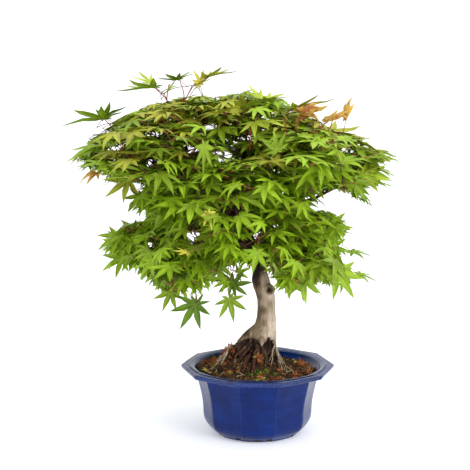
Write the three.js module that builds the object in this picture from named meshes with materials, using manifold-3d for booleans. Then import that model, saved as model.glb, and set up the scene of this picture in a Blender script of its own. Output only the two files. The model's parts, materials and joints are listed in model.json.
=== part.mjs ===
// A Japanese maple bonsai in a ten-sided glazed pot.
// Millimetres, +Z up. The origin is the middle of the pot's underside. The front faces -Y.

import * as THREE from 'three';
import { mergeVertices } from 'three/addons/utils/BufferGeometryUtils.js';
import Module from 'manifold-3d';

const wasm = await Module();
wasm.setup();

// Space left between neighbouring solids
const gap = 0.3;

// Pot: radii of the outside run to its corners, radii of the inside are round
const pot = {
  sides: 10,
  height: 95,
  footRadius: 60,
  footHeight: 3,
  bellyRadius: 77.5,
  bellyHeight: 19,
  neckRadius: 86.5,
  neckHeight: 85,
  rimRadius: 110,
  rimThickness: 6,
  rimFall: 1,
  rimRounding: 1.6,
  chamferInset: 4.5,
  chamferDrop: 6,
  wallFlare: 1.8,
  mouthRadius: 92,
  throatRadius: 78,
  throatDepth: 10,
  basinRadius: 64,
  basinFloor: 9,
  basinRounding: 5,
  roundSides: 24,
  wallSteps: 4,
};

// Openings cut under the foot, which leave its feet between them
const footNotch = { count: 5, width: 26, height: 3, inner: 50, firstTurn: -86 };

// Soil: level with the pot's throat at the wall, heaped towards the trunk
const soil = { edgeDepth: 11, rise: 40, heapX: -14, heapY: 1, slope: 0.7, ease: 1.8, rings: 5 };

// Trunk, from its flat foot in the soil to the tip that the topmost leaves grow on
const groundLevel = 97;
const trunk = {
  path: [
    [3, 0, 92],
    [6.2, 0, 128],
    [10.5, 0, 150],
    [12.5, 0, 176],
    [13, 0, 200],
    [8, 1, 217],
    [3, 2, 236],
    [-5, 5, 262],
    [-19, 9, 292],
    [-29, 9, 322],
    [-30, 4, 352],
    [-22, 0, 382],
    [-18, 0, 404],
  ],
  radii: [25, 20.5, 15, 12.6, 13, 11, 9.2, 8.2, 7.2, 6.2, 5.2, 4.2, 3.2],
  sides: 10,
  steps: 15,
};

// Scar where an older leader was cut off: a short stub to the right of the trunk
const stub = {
  path: [
    [14, -1, 199],
    [20, -5, 208],
    [24, -8, 213],
  ],
  radii: [9, 7.6, 5.6],
  sides: 8,
  steps: 3,
};

// Surface roots: compass turn in degrees, how far out they run, and their thickness
const rootTop = 149;
const rootInner = 4;
const rootStations = [0, 0.34, 0.68, 1];
const rootTaper = [1.15, 1, 0.62, 0.4];
const rootBend = { straight: 1.15, sagging: 0.62 };
const rootSides = 5;
const rootSteps = 4;
const roots = [
  { turn: 183, reach: 74, radius: 8, sag: 0.2 },
  { turn: 212, reach: 64, radius: 6.5, sag: 0.6 },
  { turn: 245, reach: 46, radius: 6, sag: 0.9 },
  { turn: 280, reach: 32, radius: 6, sag: 1 },
  { turn: 318, reach: 38, radius: 5, sag: 1.2 },
  { turn: 0, reach: 38, radius: 5, sag: 1.3 },
  { turn: 48, reach: 42, radius: 6, sag: 0.9 },
  { turn: 96, reach: 50, radius: 6.5, sag: 0.7 },
  { turn: 140, reach: 62, radius: 7, sag: 0.45 },
];

// Leaves, boughs and the twigs in each mass. Each leaf stands at the end of a twig of its own.
const leaf = {
  length: 40,
  halfThickness: 1,
  lobeTurns: [0, 43, 86],
  lobeReach: [1, 0.93, 0.7],
  notchReach: 0.4,
  collarTurn: 145,
  collarReach: 1.4,
  middle: 0.3,
  droop: 0.13,
  sizeFrom: 0.92,
  sizeTo: 1.08,
};
const bough = { sides: 5, steps: 4, bow: 0.1, taper: 0.6, tipRadius: 2.4, inset: 0.6 };
const stem = { radii: [2.2, 1.8, 1.4], sides: 3, steps: 3, lead: 0.5, turnIn: 0.35, beyond: 0.04, nodes: 7 };
const twig = { radius: 0.9, shortest: 16, longest: 78, forks: [0.45, 0.75], tried: 4 };

// How steeply a twig has to rise from its fork to its leaf, measured along the leaf and its face
const climb = { along: 0.6, face: 0.8, least: 0.12 };

// Volume that a twig shares with what it forks off, and the most that it may share with the rest
const joint = { least: 0.25, most: 3, contact: 0.02 };

// How leaves spread over a mass: darts thrown, space between leaves and to the mass's edge,
// and the turns and sizes tried for each leaf
const spread = {
  darts: 900,
  spacing: 33,
  edge: 8,
  hollow: 0.42,
  turns: [0, 25, -25, 50, -50, 80, -80, 120, -120, 160, -160],
  headingSpread: 50,
  sizes: [1, 0.85, 0.72],
  leavesInMass: 14,
  seed: 101,
  seedStep: 37,
};

// The crown: the point its leaves face away from, and how they hang at its foot and its top
const crown = {
  heart: new THREE.Vector3(-25, 0, 300),
  low: 200,
  high: 480,
  droopLow: 1.2,
  droopHigh: 0.3,
  tipDroop: 0.25,
  hangsBelow: -12,
  faceOut: 0.75,
  heightWeight: 1.25,
  margin: 1,
  reach: new THREE.Vector3(225, 180, 190),
};

// The stretch of trunk that no leaf hangs in front of
const bareTrunk = { left: -12, right: 34, top: 246 };

// Masses of leaves: middle, half sizes, the limb that each bough leaves and where,
// and the furthest leaf tips that it reaches
const masses = [
  {
    name: 'foliage_top_middle',
    at: [-22, -2, 448],
    size: [64, 76, 44],
    tips: [[4, -24, 474]],
  },
  {
    name: 'foliage_top_left',
    at: [-112, 0, 464],
    size: [64, 76, 44],
    from: 'trunk',
    along: 0.75,
    radius: 3.8,
    tips: [[-170, -4, 493], [-66, 2, 500], [-128, 40, 498]],
  },
  {
    name: 'foliage_top_right',
    at: [76, 0, 430],
    size: [66, 76, 40],
    from: 'trunk',
    along: 0.85,
    radius: 3.4,
    tips: [[131, 0, 456], [92, -40, 456]],
  },
  {
    name: 'foliage_left_high',
    at: [-196, 0, 402],
    size: [62, 76, 48],
    from: 'trunk',
    along: 0.645,
    radius: 5.4,
    tips: [[-265, 0, 447], [-256, -30, 398], [-248, 20, 372]],
  },
  {
    name: 'foliage_left_high_front',
    at: [-128, -98, 402],
    size: [70, 70, 54],
    from: 'foliage_left_high',
    along: 0.4,
    radius: 3.6,
    tips: [],
  },
  {
    name: 'foliage_left_high_back',
    at: [-122, 102, 402],
    size: [72, 70, 54],
    from: 'foliage_left_high',
    along: 0.52,
    radius: 3.6,
    tips: [],
  },
  {
    name: 'foliage_right_high',
    at: [138, 0, 386],
    size: [52, 78, 42],
    from: 'trunk',
    along: 0.55,
    radius: 5.2,
    tips: [[197, 0, 396], [194, -34, 364], [188, 46, 382]],
  },
  {
    name: 'foliage_right_high_front',
    at: [62, -104, 378],
    size: [72, 72, 54],
    from: 'foliage_right_high',
    along: 0.42,
    radius: 3.6,
    tips: [],
  },
  {
    name: 'foliage_right_high_back',
    at: [74, 106, 380],
    size: [74, 70, 54],
    from: 'foliage_right_high',
    along: 0.54,
    radius: 3.6,
    tips: [],
  },
  {
    name: 'foliage_middle_front',
    at: [-42, -122, 340],
    size: [68, 64, 58],
    from: 'trunk',
    along: 0.7,
    radius: 4,
    tips: [],
  },
  {
    name: 'foliage_middle_back',
    at: [-28, 132, 350],
    size: [74, 64, 62],
    from: 'trunk',
    along: 0.67,
    radius: 4,
    tips: [],
  },
  {
    name: 'foliage_left_low',
    at: [-158, -12, 270],
    size: [56, 76, 38],
    from: 'trunk',
    along: 0.485,
    radius: 4.6,
    tips: [[-224, 0, 268], [-212, -50, 256]],
  },
  {
    name: 'foliage_left_low_front',
    at: [-92, -88, 258],
    size: [66, 66, 58],
    from: 'foliage_left_low',
    along: 0.36,
    radius: 3.4,
    tips: [[-121, -70, 196], [-98, -62, 168], [-38, -62, 178]],
  },
  {
    name: 'foliage_right_low',
    at: [92, -2, 262],
    size: [50, 78, 46],
    from: 'trunk',
    along: 0.45,
    radius: 4.6,
    tips: [[150, -30, 272], [136, 0, 198]],
  },
  {
    name: 'foliage_right_low_front',
    at: [38, -92, 278],
    size: [64, 66, 58],
    from: 'foliage_right_low',
    along: 0.4,
    radius: 3.4,
    tips: [[62, -84, 206]],
  },
  {
    name: 'foliage_back_low_left',
    at: [-86, 98, 268],
    size: [74, 72, 56],
    from: 'trunk',
    along: 0.52,
    radius: 4.2,
    tips: [],
  },
  {
    name: 'foliage_back_low_right',
    at: [48, 102, 270],
    size: [74, 72, 56],
    from: 'trunk',
    along: 0.475,
    radius: 4.2,
    tips: [],
  },
];

const up = new THREE.Vector3(0, 0, 1);
const rad = THREE.MathUtils.degToRad;
const lerp = THREE.MathUtils.lerp;
const clamp = THREE.MathUtils.clamp;

// Seeded random numbers from 0 to 1
function seeded(seed) {
  let state = seed >>> 0;
  return () => {
    state = (state + 0x6d2b79f5) >>> 0;
    let t = Math.imul(state ^ (state >>> 15), state | 1);
    t ^= t + Math.imul(t ^ (t >>> 7), t | 61);
    return ((t ^ (t >>> 14)) >>> 0) / 4294967296;
  };
}

// Closed geometry to a solid: shared points merged, collapsed faces dropped
function solidOf(geometry) {
  geometry.deleteAttribute('normal');
  geometry.deleteAttribute('uv');
  const merged = mergeVertices(geometry, 1e-4);
  const corners = merged.index.array;
  const faces = [];
  for (let i = 0; i < corners.length; i += 3) {
    const [a, b, c] = [corners[i], corners[i + 1], corners[i + 2]];
    if (a !== b && b !== c && c !== a) faces.push(a, b, c);
  }
  const vertProperties = new Float32Array(merged.attributes.position.array);
  const mesh = new wasm.Mesh({ numProp: 3, vertProperties, triVerts: new Uint32Array(faces) });
  return new wasm.Manifold(mesh);
}

// The largest body of a solid, with its sealed hollows filled
function mainBody(solid) {
  return solid.decompose().reduce((best, body) => (body.volume() > best.volume() ? body : best));
}

function joined(solids) {
  return solids.reduce((sum, solid) => sum.add(solid));
}

// A profile of [radius, height] points turned about +Z, with a corner at +X
function turned(profile, sides) {
  const points = profile.map(([radius, height]) => new THREE.Vector2(radius, height));
  const geometry = new THREE.LatheGeometry(points, sides, Math.PI / 2 - (2 * Math.PI) / sides);
  return geometry.rotateX(Math.PI / 2);
}

// A tapering round limb along a smooth curve
class Limb {
  constructor({ path, radii, sides, steps }) {
    const points = path.map((p) => (p.isVector3 ? p.clone() : new THREE.Vector3(...p)));
    this.curve = new THREE.CatmullRomCurve3(points, false, 'centripetal');
    this.sides = sides;
    this.steps = steps;
    this.radii = radii;
    this.stations = [0];
    for (let i = 1; i < points.length; i++) {
      this.stations.push(this.stations[i - 1] + points[i].distanceTo(points[i - 1]));
    }
    const length = this.stations[points.length - 1];
    this.stations = this.stations.map((s) => s / length);
    this.frames = this.curve.computeFrenetFrames(steps, false);
  }

  pointAt(u) {
    return this.curve.getPointAt(u);
  }

  tangentAt(u) {
    return this.curve.getTangentAt(u);
  }

  radiusAt(u) {
    let i = 1;
    while (i < this.stations.length - 1 && this.stations[i] < u) i++;
    const [from, to] = [this.stations[i - 1], this.stations[i]];
    return lerp(this.radii[i - 1], this.radii[i], clamp((u - from) / (to - from), 0, 1));
  }

  // The limb's solid, or a copy that stands grow millimetres further out all over
  solid(grow = 0) {
    const { sides, steps } = this;
    const extra = grow / Math.cos(Math.PI / sides);
    const points = [];
    const faces = [];
    for (let ring = 0; ring <= steps; ring++) {
      const radius = this.radiusAt(ring / steps) + extra;
      const middle = this.pointAt(ring / steps);
      if (ring === 0) middle.addScaledVector(this.frames.tangents[ring], -grow);
      if (ring === steps) middle.addScaledVector(this.frames.tangents[ring], grow);
      for (let j = 0; j < sides; j++) {
        const turn = (2 * Math.PI * j) / sides;
        const point = middle.clone().addScaledVector(this.frames.normals[ring], Math.cos(turn) * radius);
        points.push(point.addScaledVector(this.frames.binormals[ring], Math.sin(turn) * radius));
        if (ring === steps) continue;
        const [a, b] = [ring * sides + j, ring * sides + ((j + 1) % sides)];
        faces.push(a, b, b + sides, a, b + sides, a + sides);
      }
    }
    const last = sides * steps;
    for (let j = 1; j < sides - 1; j++) faces.push(0, j + 1, j, last, last + j, last + j + 1);
    const geometry = new THREE.BufferGeometry().setFromPoints(points);
    geometry.setIndex(faces);
    return solidOf(geometry);
  }
}

// Pot: a ten-sided body and flat rim around a round basin
function potOutline() {
  const { bellyRadius, bellyHeight, neckRadius, neckHeight, rimRadius, height } = pot;
  const under = height - pot.rimThickness;
  const outline = [
    [0, 0],
    [pot.footRadius, 0],
    [pot.footRadius + 1, pot.footHeight],
    [bellyRadius - pot.chamferInset, bellyHeight - pot.chamferDrop],
  ];
  for (let i = 0; i <= pot.wallSteps; i++) {
    const s = i / pot.wallSteps;
    const flare = Math.pow(s, pot.wallFlare);
    outline.push([lerp(bellyRadius, neckRadius, flare), lerp(bellyHeight, neckHeight, s)]);
  }
  outline.push(
    [neckRadius + 4, under],
    [rimRadius - pot.rimRounding, under],
    [rimRadius, under + pot.rimRounding],
    [rimRadius, height - pot.rimFall - pot.rimRounding],
    [rimRadius - pot.rimRounding, height - pot.rimFall],
    [pot.mouthRadius / Math.cos(Math.PI / pot.sides), height],
    [0, height],
  );
  return outline;
}

// The inside of the pot below its rim, drawn in by inset, as the soil that fills it is
function basinOutline(inset) {
  const { height, basinFloor, basinRadius, basinRounding, throatRadius, throatDepth } = pot;
  const throat = height - throatDepth;
  const heel = basinRadius + basinRounding;
  return [
    [0, basinFloor + inset],
    [basinRadius - inset, basinFloor + inset],
    [heel - inset, basinFloor + 2 * basinRounding],
    [lerp(heel, throatRadius, 0.35) - inset, lerp(basinFloor, throat, 0.62)],
    [throatRadius - inset, throat],
  ];
}

function potSolid() {
  const { height, mouthRadius } = pot;
  const above = height + 5;
  const basin = [
    ...basinOutline(0),
    [lerp(pot.throatRadius, mouthRadius, 0.5), height - pot.throatDepth * 0.28],
    [mouthRadius, height],
    [mouthRadius, above],
    [0, above],
  ];
  let body = solidOf(turned(potOutline(), pot.sides)).subtract(solidOf(turned(basin, pot.roundSides)));
  const { count, width, inner } = footNotch;
  const length = pot.bellyRadius - inner;
  for (let k = 0; k < count; k++) {
    const notch = new THREE.BoxGeometry(length, width, 2 * footNotch.height);
    notch.translate(inner + length / 2, 0, 0);
    notch.rotateZ(rad(footNotch.firstTurn + (360 / count) * k));
    body = body.subtract(solidOf(notch));
  }
  return mainBody(body);
}

// Height of the heaped soil above its edge
function heapHeight(x, y) {
  const edge = pot.throatRadius;
  const inward = 1 - Math.pow(Math.min(Math.hypot(x, y) / edge, 1), 2);
  const away = Math.hypot(x - soil.heapX * inward, y - soil.heapY * inward) / edge;
  const climb = clamp((1 - away) / soil.slope, 0, 1);
  return soil.rise * Math.pow(Math.sin((climb * Math.PI) / 2), soil.ease);
}

function soilSolid(rootedTrunk) {
  const level = pot.height - soil.edgeDepth;
  const outline = basinOutline(gap);
  const wall = outline[outline.length - 1];
  wall[1] = level;
  for (let ring = soil.rings - 1; ring >= 0; ring--) {
    outline.push([(wall[0] * ring) / soil.rings, level]);
  }
  const geometry = turned(outline, pot.roundSides);
  const position = geometry.attributes.position;
  for (let i = 0; i < position.count; i++) {
    const [x, y, z] = [position.getX(i), position.getY(i), position.getZ(i)];
    if (z > level - 1e-3) position.setZ(i, z + heapHeight(x, y));
  }
  return mainBody(solidOf(geometry).subtract(rootedTrunk));
}

// A root leaves the trunk's foot and bends down to the soil
function rootLimb({ turn, reach, radius, sag }) {
  const out = new THREE.Vector3(Math.cos(rad(turn)), Math.sin(rad(turn)), 0);
  const foot = new THREE.Vector3(trunk.path[1][0], trunk.path[1][1], 0);
  const drop = rootTop - groundLevel + radius;
  const path = rootStations.map((s) => {
    const fall = drop * lerp(Math.pow(s, rootBend.straight), Math.pow(s, rootBend.sagging), sag);
    return foot.clone().addScaledVector(out, lerp(rootInner, reach, s)).setZ(rootTop - fall);
  });
  const radii = rootTaper.map((share) => share * radius);
  return new Limb({ path, radii, sides: rootSides, steps: rootSteps });
}

// Trunk, stub and roots in one, cut flat at the soil
function trunkSolid(limbs, grow = 0) {
  const reach = 2 * pot.rimRadius;
  const below = new THREE.BoxGeometry(reach, reach, groundLevel);
  below.translate(0, 0, groundLevel / 2 - grow);
  return mainBody(joined(limbs.map((limb) => limb.solid(grow))).subtract(solidOf(below)));
}

// How far p lies inside the plane between two masses. Larger masses own more of the space.
function insidePlane(mass, other, p) {
  const weight = new THREE.Vector3(1, 1, crown.heightWeight);
  const here = mass.centre.clone().multiply(weight);
  const between = other.centre.clone().multiply(weight).sub(here);
  const distance = between.length();
  const share = (distance * distance + mass.width ** 2 - other.width ** 2) / (2 * distance);
  return share - p.clone().multiply(weight).sub(here).dot(between) / distance;
}

function inOwnSpace(mass, points) {
  return points.every((p) => {
    const bare = p.z < bareTrunk.top && p.y < 0 && p.x > bareTrunk.left && p.x < bareTrunk.right;
    if (bare) return false;
    return masses.every((other) => other === mass || insidePlane(mass, other, p) > crown.margin);
  });
}

// The way a leaf's middle lobe points, the way its upper face looks, and the side to its left
function leafPose(place, heading, level = false) {
  const outward = place.clone().sub(crown.heart).setZ(0).normalize();
  const lift = clamp((place.z - crown.low) / (crown.high - crown.low), 0, 1);
  const lobe = heading.clone().setZ(0).normalize();
  lobe.z = -(level ? crown.tipDroop : lerp(crown.droopLow, crown.droopHigh, lift));
  lobe.normalize();
  const face = up.clone().addScaledVector(outward, crown.faceOut);
  face.addScaledVector(lobe, -face.dot(lobe)).normalize();
  return { lobe, face, side: new THREE.Vector3().crossVectors(face, lobe) };
}

// The outline of a leaf about its middle, from the tip round the left side to the collar and back
function leafOutline(middle, { lobe, face, side }, length) {
  const at = ([turn, reach]) =>
    middle
      .clone()
      .addScaledVector(lobe, Math.cos(rad(turn)) * reach * length)
      .addScaledVector(side, Math.sin(rad(turn)) * reach * length)
      .addScaledVector(face, -leaf.droop * reach * reach * length);
  const half = [];
  leaf.lobeTurns.forEach((turn, k) => {
    if (k > 0) half.push([(turn + leaf.lobeTurns[k - 1]) / 2, leaf.notchReach]);
    half.push([turn, leaf.lobeReach[k]]);
  });
  half.push([leaf.collarTurn, leaf.collarReach / length]);
  const mirrored = half.slice(1).map(([turn, reach]) => [-turn, reach]).reverse();
  return [...half, ...mirrored].map(at);
}

// The three points at the back of a leaf that its twig runs to, and the point between them
function collarOf(outline, middle, { face }) {
  const last = outline.length / 2 - 0.5;
  return [outline[last], outline[last + 1], middle.clone().addScaledVector(face, -leaf.halfThickness)];
}

function neckOf(outline, middle, pose) {
  const [left, right, under] = collarOf(outline, middle, pose);
  return left.clone().add(right).add(under).divideScalar(3);
}

// A leaf of five lobes, thickest in its middle, and the three-sided twig that carries it
function leafSolid(outline, middle, { face, side }, foot) {
  const count = outline.length;
  const back = count / 2 - 0.5;
  const way = middle.clone().sub(foot).normalize();
  const across = side.clone().addScaledVector(way, -side.dot(way)).normalize();
  const over = new THREE.Vector3().crossVectors(way, across);
  const points = [
    ...outline,
    middle.clone().addScaledVector(face, leaf.halfThickness),
    middle.clone().addScaledVector(face, -leaf.halfThickness),
    foot.clone().addScaledVector(across, twig.radius).addScaledVector(over, twig.radius / 2),
    foot.clone().addScaledVector(across, -twig.radius).addScaledVector(over, twig.radius / 2),
    foot.clone().addScaledVector(over, -twig.radius),
  ];
  const faces = [];
  for (let i = 0; i < count; i++) {
    const next = (i + 1) % count;
    faces.push(count, i, next);
    if (i !== back) faces.push(count + 1, next, i);
  }
  const near = [back, back + 1, count + 1];
  const end = count + 2;
  for (let k = 0; k < 3; k++) {
    const other = (k + 1) % 3;
    faces.push(near[k], end + k, near[other], near[other], end + k, end + other);
  }
  faces.push(end, end + 2, end + 1);
  const geometry = new THREE.BufferGeometry().setFromPoints(points);
  geometry.setIndex(faces);
  return solidOf(geometry);
}

// The volume that a solid shares with another
function shared(solid, other) {
  const box = solid.boundingBox();
  const { min, max } = other.box;
  const apart = [0, 1, 2].some((k) => box.max[k] < min[k] || box.min[k] > max[k]);
  return apart ? 0 : other.solid.intersect(solid).volume();
}

// Points spread evenly over a mass's own space, outside the bare middle of the crown, nearest first
function spreadPoints(mass, random, taken) {
  const found = [];
  const size = new THREE.Vector3(...mass.size);
  for (let dart = 0; dart < spread.darts; dart++) {
    const offset = new THREE.Vector3(2 * random() - 1, 2 * random() - 1, 2 * random() - 1);
    if (offset.length() > 1) continue;
    const p = mass.centre.clone().add(offset.multiply(size));
    const fromHeart = p.clone().sub(crown.heart).divide(crown.reach).length();
    const crowded = taken.some((other) => other.distanceTo(p) < spread.spacing);
    const inside = masses.every((other) => other === mass || insidePlane(mass, other, p) > spread.edge);
    if (fromHeart < spread.hollow || crowded || !inside) continue;
    taken.push(p);
    found.push(p);
  }
  return found.sort((a, b) => a.distanceTo(mass.start) - b.distanceTo(mass.start));
}

// A mass: one stem from its bough's tip, and twigs with a leaf each that fork off what has grown so far
function massSolid(mass, index, taken, obstacles) {
  const random = seeded(spread.seed + spread.seedStep * index);
  const length = mass.start.distanceTo(mass.centre);
  const far = mass.start.clone().lerp(mass.centre, 1 + stem.beyond);
  const lead = mass.start.clone().addScaledVector(mass.heading, stem.lead * length);
  const path = [mass.start, lead.lerp(mass.centre, stem.turnIn), far];
  const limb = new Limb({ path, ...stem });
  const grown = [];
  const keep = (solid) => grown.push({ solid, box: solid.boundingBox() });
  keep(limb.solid());
  const forks = [];
  for (let k = 1; k <= stem.nodes; k++) {
    forks.push({ point: limb.pointAt((k - 0.1) / stem.nodes), owner: grown[0] });
  }

  const grow = (middle, pose, length) => {
    const outline = leafOutline(middle, pose, length);
    if (!inOwnSpace(mass, outline)) return false;
    const away = (fork) => fork.point.distanceTo(middle);
    const suited = forks.filter((fork) => {
      const back = fork.point.clone().sub(middle).normalize();
      const rise = -climb.along * back.dot(pose.lobe) - climb.face * back.dot(pose.face);
      return away(fork) > twig.shortest && away(fork) < twig.longest && rise > climb.least;
    });
    suited.sort((a, b) => away(a) - away(b));
    for (const fork of suited.slice(0, twig.tried)) {
      const solid = leafSolid(outline, middle, pose, fork.point);
      const rooted = shared(solid, fork.owner);
      if (rooted < joint.least || rooted > joint.most) continue;
      const others = grown.filter((piece) => piece !== fork.owner);
      if (obstacles.some((limb) => shared(solid, limb) > 0)) continue;
      if (others.some((piece) => shared(solid, piece) > joint.contact)) continue;
      keep(solid);
      const owner = grown[grown.length - 1];
      const neck = neckOf(outline, middle, pose);
      forks.splice(forks.indexOf(fork), 1);
      for (const at of twig.forks) forks.push({ point: fork.point.clone().lerp(neck, at), owner });
      return true;
    }
    return false;
  };

  const tips = mass.tips.map((tip) => {
    const target = new THREE.Vector3(...tip);
    const away = target.clone().sub(mass.centre);
    const pose = leafPose(target, away, away.z > crown.hangsBelow);
    const middle = target.clone().addScaledVector(pose.lobe, -leaf.length);
    middle.addScaledVector(pose.face, leaf.droop * leaf.length);
    taken.push(middle.clone().lerp(target, leaf.middle));
    return { middle, pose };
  });
  for (const place of spreadPoints(mass, random, taken)) {
    const outward = place.clone().sub(crown.heart).setZ(0).normalize();
    const heading = place.clone().sub(mass.centre).setZ(0).normalize().add(outward);
    heading.applyAxisAngle(up, rad(spread.headingSpread * (random() - 0.5)));
    const length = leaf.length * lerp(leaf.sizeFrom, leaf.sizeTo, random());
    const fits = (size) => (turn) => {
      const pose = leafPose(place, heading.clone().applyAxisAngle(up, rad(turn)));
      const middle = place.clone().addScaledVector(pose.lobe, -leaf.middle * length * size);
      return grow(middle, pose, length * size);
    };
    if (grown.length <= spread.leavesInMass) spread.sizes.some((size) => spread.turns.some(fits(size)));
  }
  for (const { middle, pose } of tips) grow(middle, pose, leaf.length);
  return mainBody(joined(grown.map((piece) => piece.solid)));
}

const bark = new THREE.MeshStandardMaterial({ color: 0xa8977f, roughness: 0.85, metalness: 0 });
const youngBark = new THREE.MeshStandardMaterial({ color: 0x5e4a3a, roughness: 0.8, metalness: 0 });
const glaze = new THREE.MeshStandardMaterial({ color: 0x26347a, roughness: 0.25, metalness: 0 });
const earth = new THREE.MeshStandardMaterial({ color: 0x3a2a1c, roughness: 1, metalness: 0 });
const green = new THREE.MeshStandardMaterial({ color: 0x6b9426, roughness: 0.6, metalness: 0 });

const plant = new THREE.Group();

function place(name, solid, material) {
  const { vertProperties, triVerts } = solid.getMesh();
  const geometry = new THREE.BufferGeometry();
  geometry.setAttribute('position', new THREE.BufferAttribute(vertProperties, 3));
  geometry.setIndex(new THREE.BufferAttribute(triVerts, 1));
  const mesh = new THREE.Mesh(geometry, material.clone());
  mesh.name = name;
  plant.add(mesh);
}

// Pot, trunk and soil
const trunkLimb = new Limb(trunk);
const trunkParts = [trunkLimb, new Limb(stub), ...roots.map(rootLimb)];
place('pot', potSolid(), glaze);
place('trunk', trunkSolid(trunkParts), bark);
place('soil', soilSolid(trunkSolid(trunkParts, gap)), earth);

// Boughs: each leaves its parent limb and ends where its mass begins
for (const mass of masses) {
  mass.centre = new THREE.Vector3(...mass.at);
  mass.width = (mass.size[0] + mass.size[1] + mass.size[2]) / 3;
}
const limbs = { trunk: trunkLimb };
const fatTrunk = trunkSolid(trunkParts, gap);
const cutters = { trunk: fatTrunk };
for (const mass of masses) {
  if (!mass.from) {
    mass.start = trunkLimb.pointAt(1).addScaledVector(trunkLimb.tangentAt(1), gap);
    mass.heading = trunkLimb.tangentAt(1);
    continue;
  }
  const parent = limbs[mass.from];
  const root = parent.pointAt(mass.along);
  const way = mass.centre.clone().sub(root);
  const tip = root.clone().addScaledVector(way, bough.inset);
  const middle = root.clone().lerp(tip, 0.5).addScaledVector(up, bough.bow * way.length());
  const limb = new Limb({
    path: [root, middle, tip],
    radii: [mass.radius, lerp(mass.radius, bough.tipRadius, bough.taper), bough.tipRadius],
    sides: bough.sides,
    steps: bough.steps,
  });
  limbs[mass.name] = limb;
  cutters[mass.name] = limb.solid(gap);
  mass.start = tip.clone().addScaledVector(limb.tangentAt(1), gap);
  mass.heading = limb.tangentAt(1);
  const solid = mainBody(limb.solid().subtract(cutters[mass.from]));
  place(mass.name.replace('foliage', 'bough'), solid, youngBark);
}

// Foliage, kept clear of every limb
const obstacles = Object.values(limbs).map((limb) => {
  const solid = limb.solid(2 * gap);
  return { solid, box: solid.boundingBox() };
});
const taken = [];
masses.forEach((mass, index) => {
  place(mass.name, massSolid(mass, index, taken, obstacles), green);
});

export default plant;
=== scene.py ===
import json
import math

import bpy
import numpy as np
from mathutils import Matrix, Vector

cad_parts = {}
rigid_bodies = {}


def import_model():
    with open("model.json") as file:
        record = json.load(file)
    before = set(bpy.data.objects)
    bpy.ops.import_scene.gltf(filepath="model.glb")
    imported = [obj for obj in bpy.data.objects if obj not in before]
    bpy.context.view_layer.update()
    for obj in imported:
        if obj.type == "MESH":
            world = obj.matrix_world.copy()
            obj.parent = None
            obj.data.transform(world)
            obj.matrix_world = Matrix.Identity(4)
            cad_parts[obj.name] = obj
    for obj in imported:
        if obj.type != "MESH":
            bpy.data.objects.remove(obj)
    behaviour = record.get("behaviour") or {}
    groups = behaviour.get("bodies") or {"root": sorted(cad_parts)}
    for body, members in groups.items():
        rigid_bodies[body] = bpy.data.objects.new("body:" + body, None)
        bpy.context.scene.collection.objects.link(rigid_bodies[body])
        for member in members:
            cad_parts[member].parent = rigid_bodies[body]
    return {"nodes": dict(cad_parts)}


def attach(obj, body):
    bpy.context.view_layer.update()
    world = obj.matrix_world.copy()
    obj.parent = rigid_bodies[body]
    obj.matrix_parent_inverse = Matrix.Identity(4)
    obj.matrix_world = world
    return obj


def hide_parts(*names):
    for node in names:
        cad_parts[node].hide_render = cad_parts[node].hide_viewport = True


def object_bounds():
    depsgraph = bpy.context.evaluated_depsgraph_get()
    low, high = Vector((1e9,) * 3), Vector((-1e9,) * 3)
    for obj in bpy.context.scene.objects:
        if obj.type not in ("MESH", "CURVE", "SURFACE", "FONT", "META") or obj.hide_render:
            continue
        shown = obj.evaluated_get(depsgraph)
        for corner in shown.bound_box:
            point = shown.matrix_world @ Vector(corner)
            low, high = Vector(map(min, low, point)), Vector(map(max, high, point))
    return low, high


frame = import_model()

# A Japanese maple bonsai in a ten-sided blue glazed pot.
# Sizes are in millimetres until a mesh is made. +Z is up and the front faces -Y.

cadLow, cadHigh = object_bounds()
mm = 0.001
stray = 8  # how far a leaf may reach in front of the solids' box or behind it
foliageNodes = sorted(name for name in frame["nodes"] if name.startswith("foliage_"))
boughNodes = sorted(name for name in frame["nodes"] if name.startswith("bough_"))

# Camera: the photo's pinhole, with its focal length in pixels of a 470-pixel frame
photoSide = 470
eye = {"x": -32.4, "y": -1955, "z": 608, "pitch": 9.36, "focal": 1400, "sensor": 36}


def makeCamera():
    data = bpy.data.cameras.new("camera")
    data.sensor_width = eye["sensor"]
    data.lens = eye["sensor"] * eye["focal"] / photoSide
    data.clip_start = 0.05
    data.clip_end = 60
    camera = bpy.data.objects.new("camera", data)
    camera.location = (eye["x"] * mm, eye["y"] * mm, eye["z"] * mm)
    camera.rotation_euler = (math.radians(90 - eye["pitch"]), 0, 0)
    bpy.context.scene.collection.objects.link(camera)
    bpy.context.scene.camera = camera


eyePlace = np.array([eye["x"], eye["y"], eye["z"]], float)
eyeSin, eyeCos = math.sin(math.radians(eye["pitch"])), math.cos(math.radians(eye["pitch"]))


# Where the line of sight through a place in the photo, in pixels from its top left corner, meets the
# upright plane at a depth in millimetres
def fromPhoto(px, py, depth):
    across, up = (px - photoSide / 2) / eye["focal"], (photoSide / 2 - py) / eye["focal"]
    way = np.array([across, up * eyeSin + eyeCos, up * eyeCos - eyeSin])
    return eyePlace + way * (depth - eye["y"]) / way[1]


# The other way round: where points are seen in the photo, in pixels
def seenInPhoto(points):
    away = np.asarray(points, float) - eyePlace
    ahead = away[..., 1] * eyeCos - away[..., 2] * eyeSin
    up = away[..., 1] * eyeSin + away[..., 2] * eyeCos
    return photoSide / 2 + eye["focal"] * np.stack([away[..., 0], -up], -1) / ahead[..., None]


# Vectors as whole arrays

def unit(v):
    v = np.asarray(v, float)
    return v / np.maximum(np.linalg.norm(v, axis=-1, keepdims=True), 1e-9)


def dot(a, b):
    return np.sum(a * b, axis=-1, keepdims=True)


def mix(a, b, t):
    return a + (b - a) * t


def ease(low, high, x):
    t = np.clip((x - low) / (high - low), 0, 1)
    return t * t * (3 - 2 * t)


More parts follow.
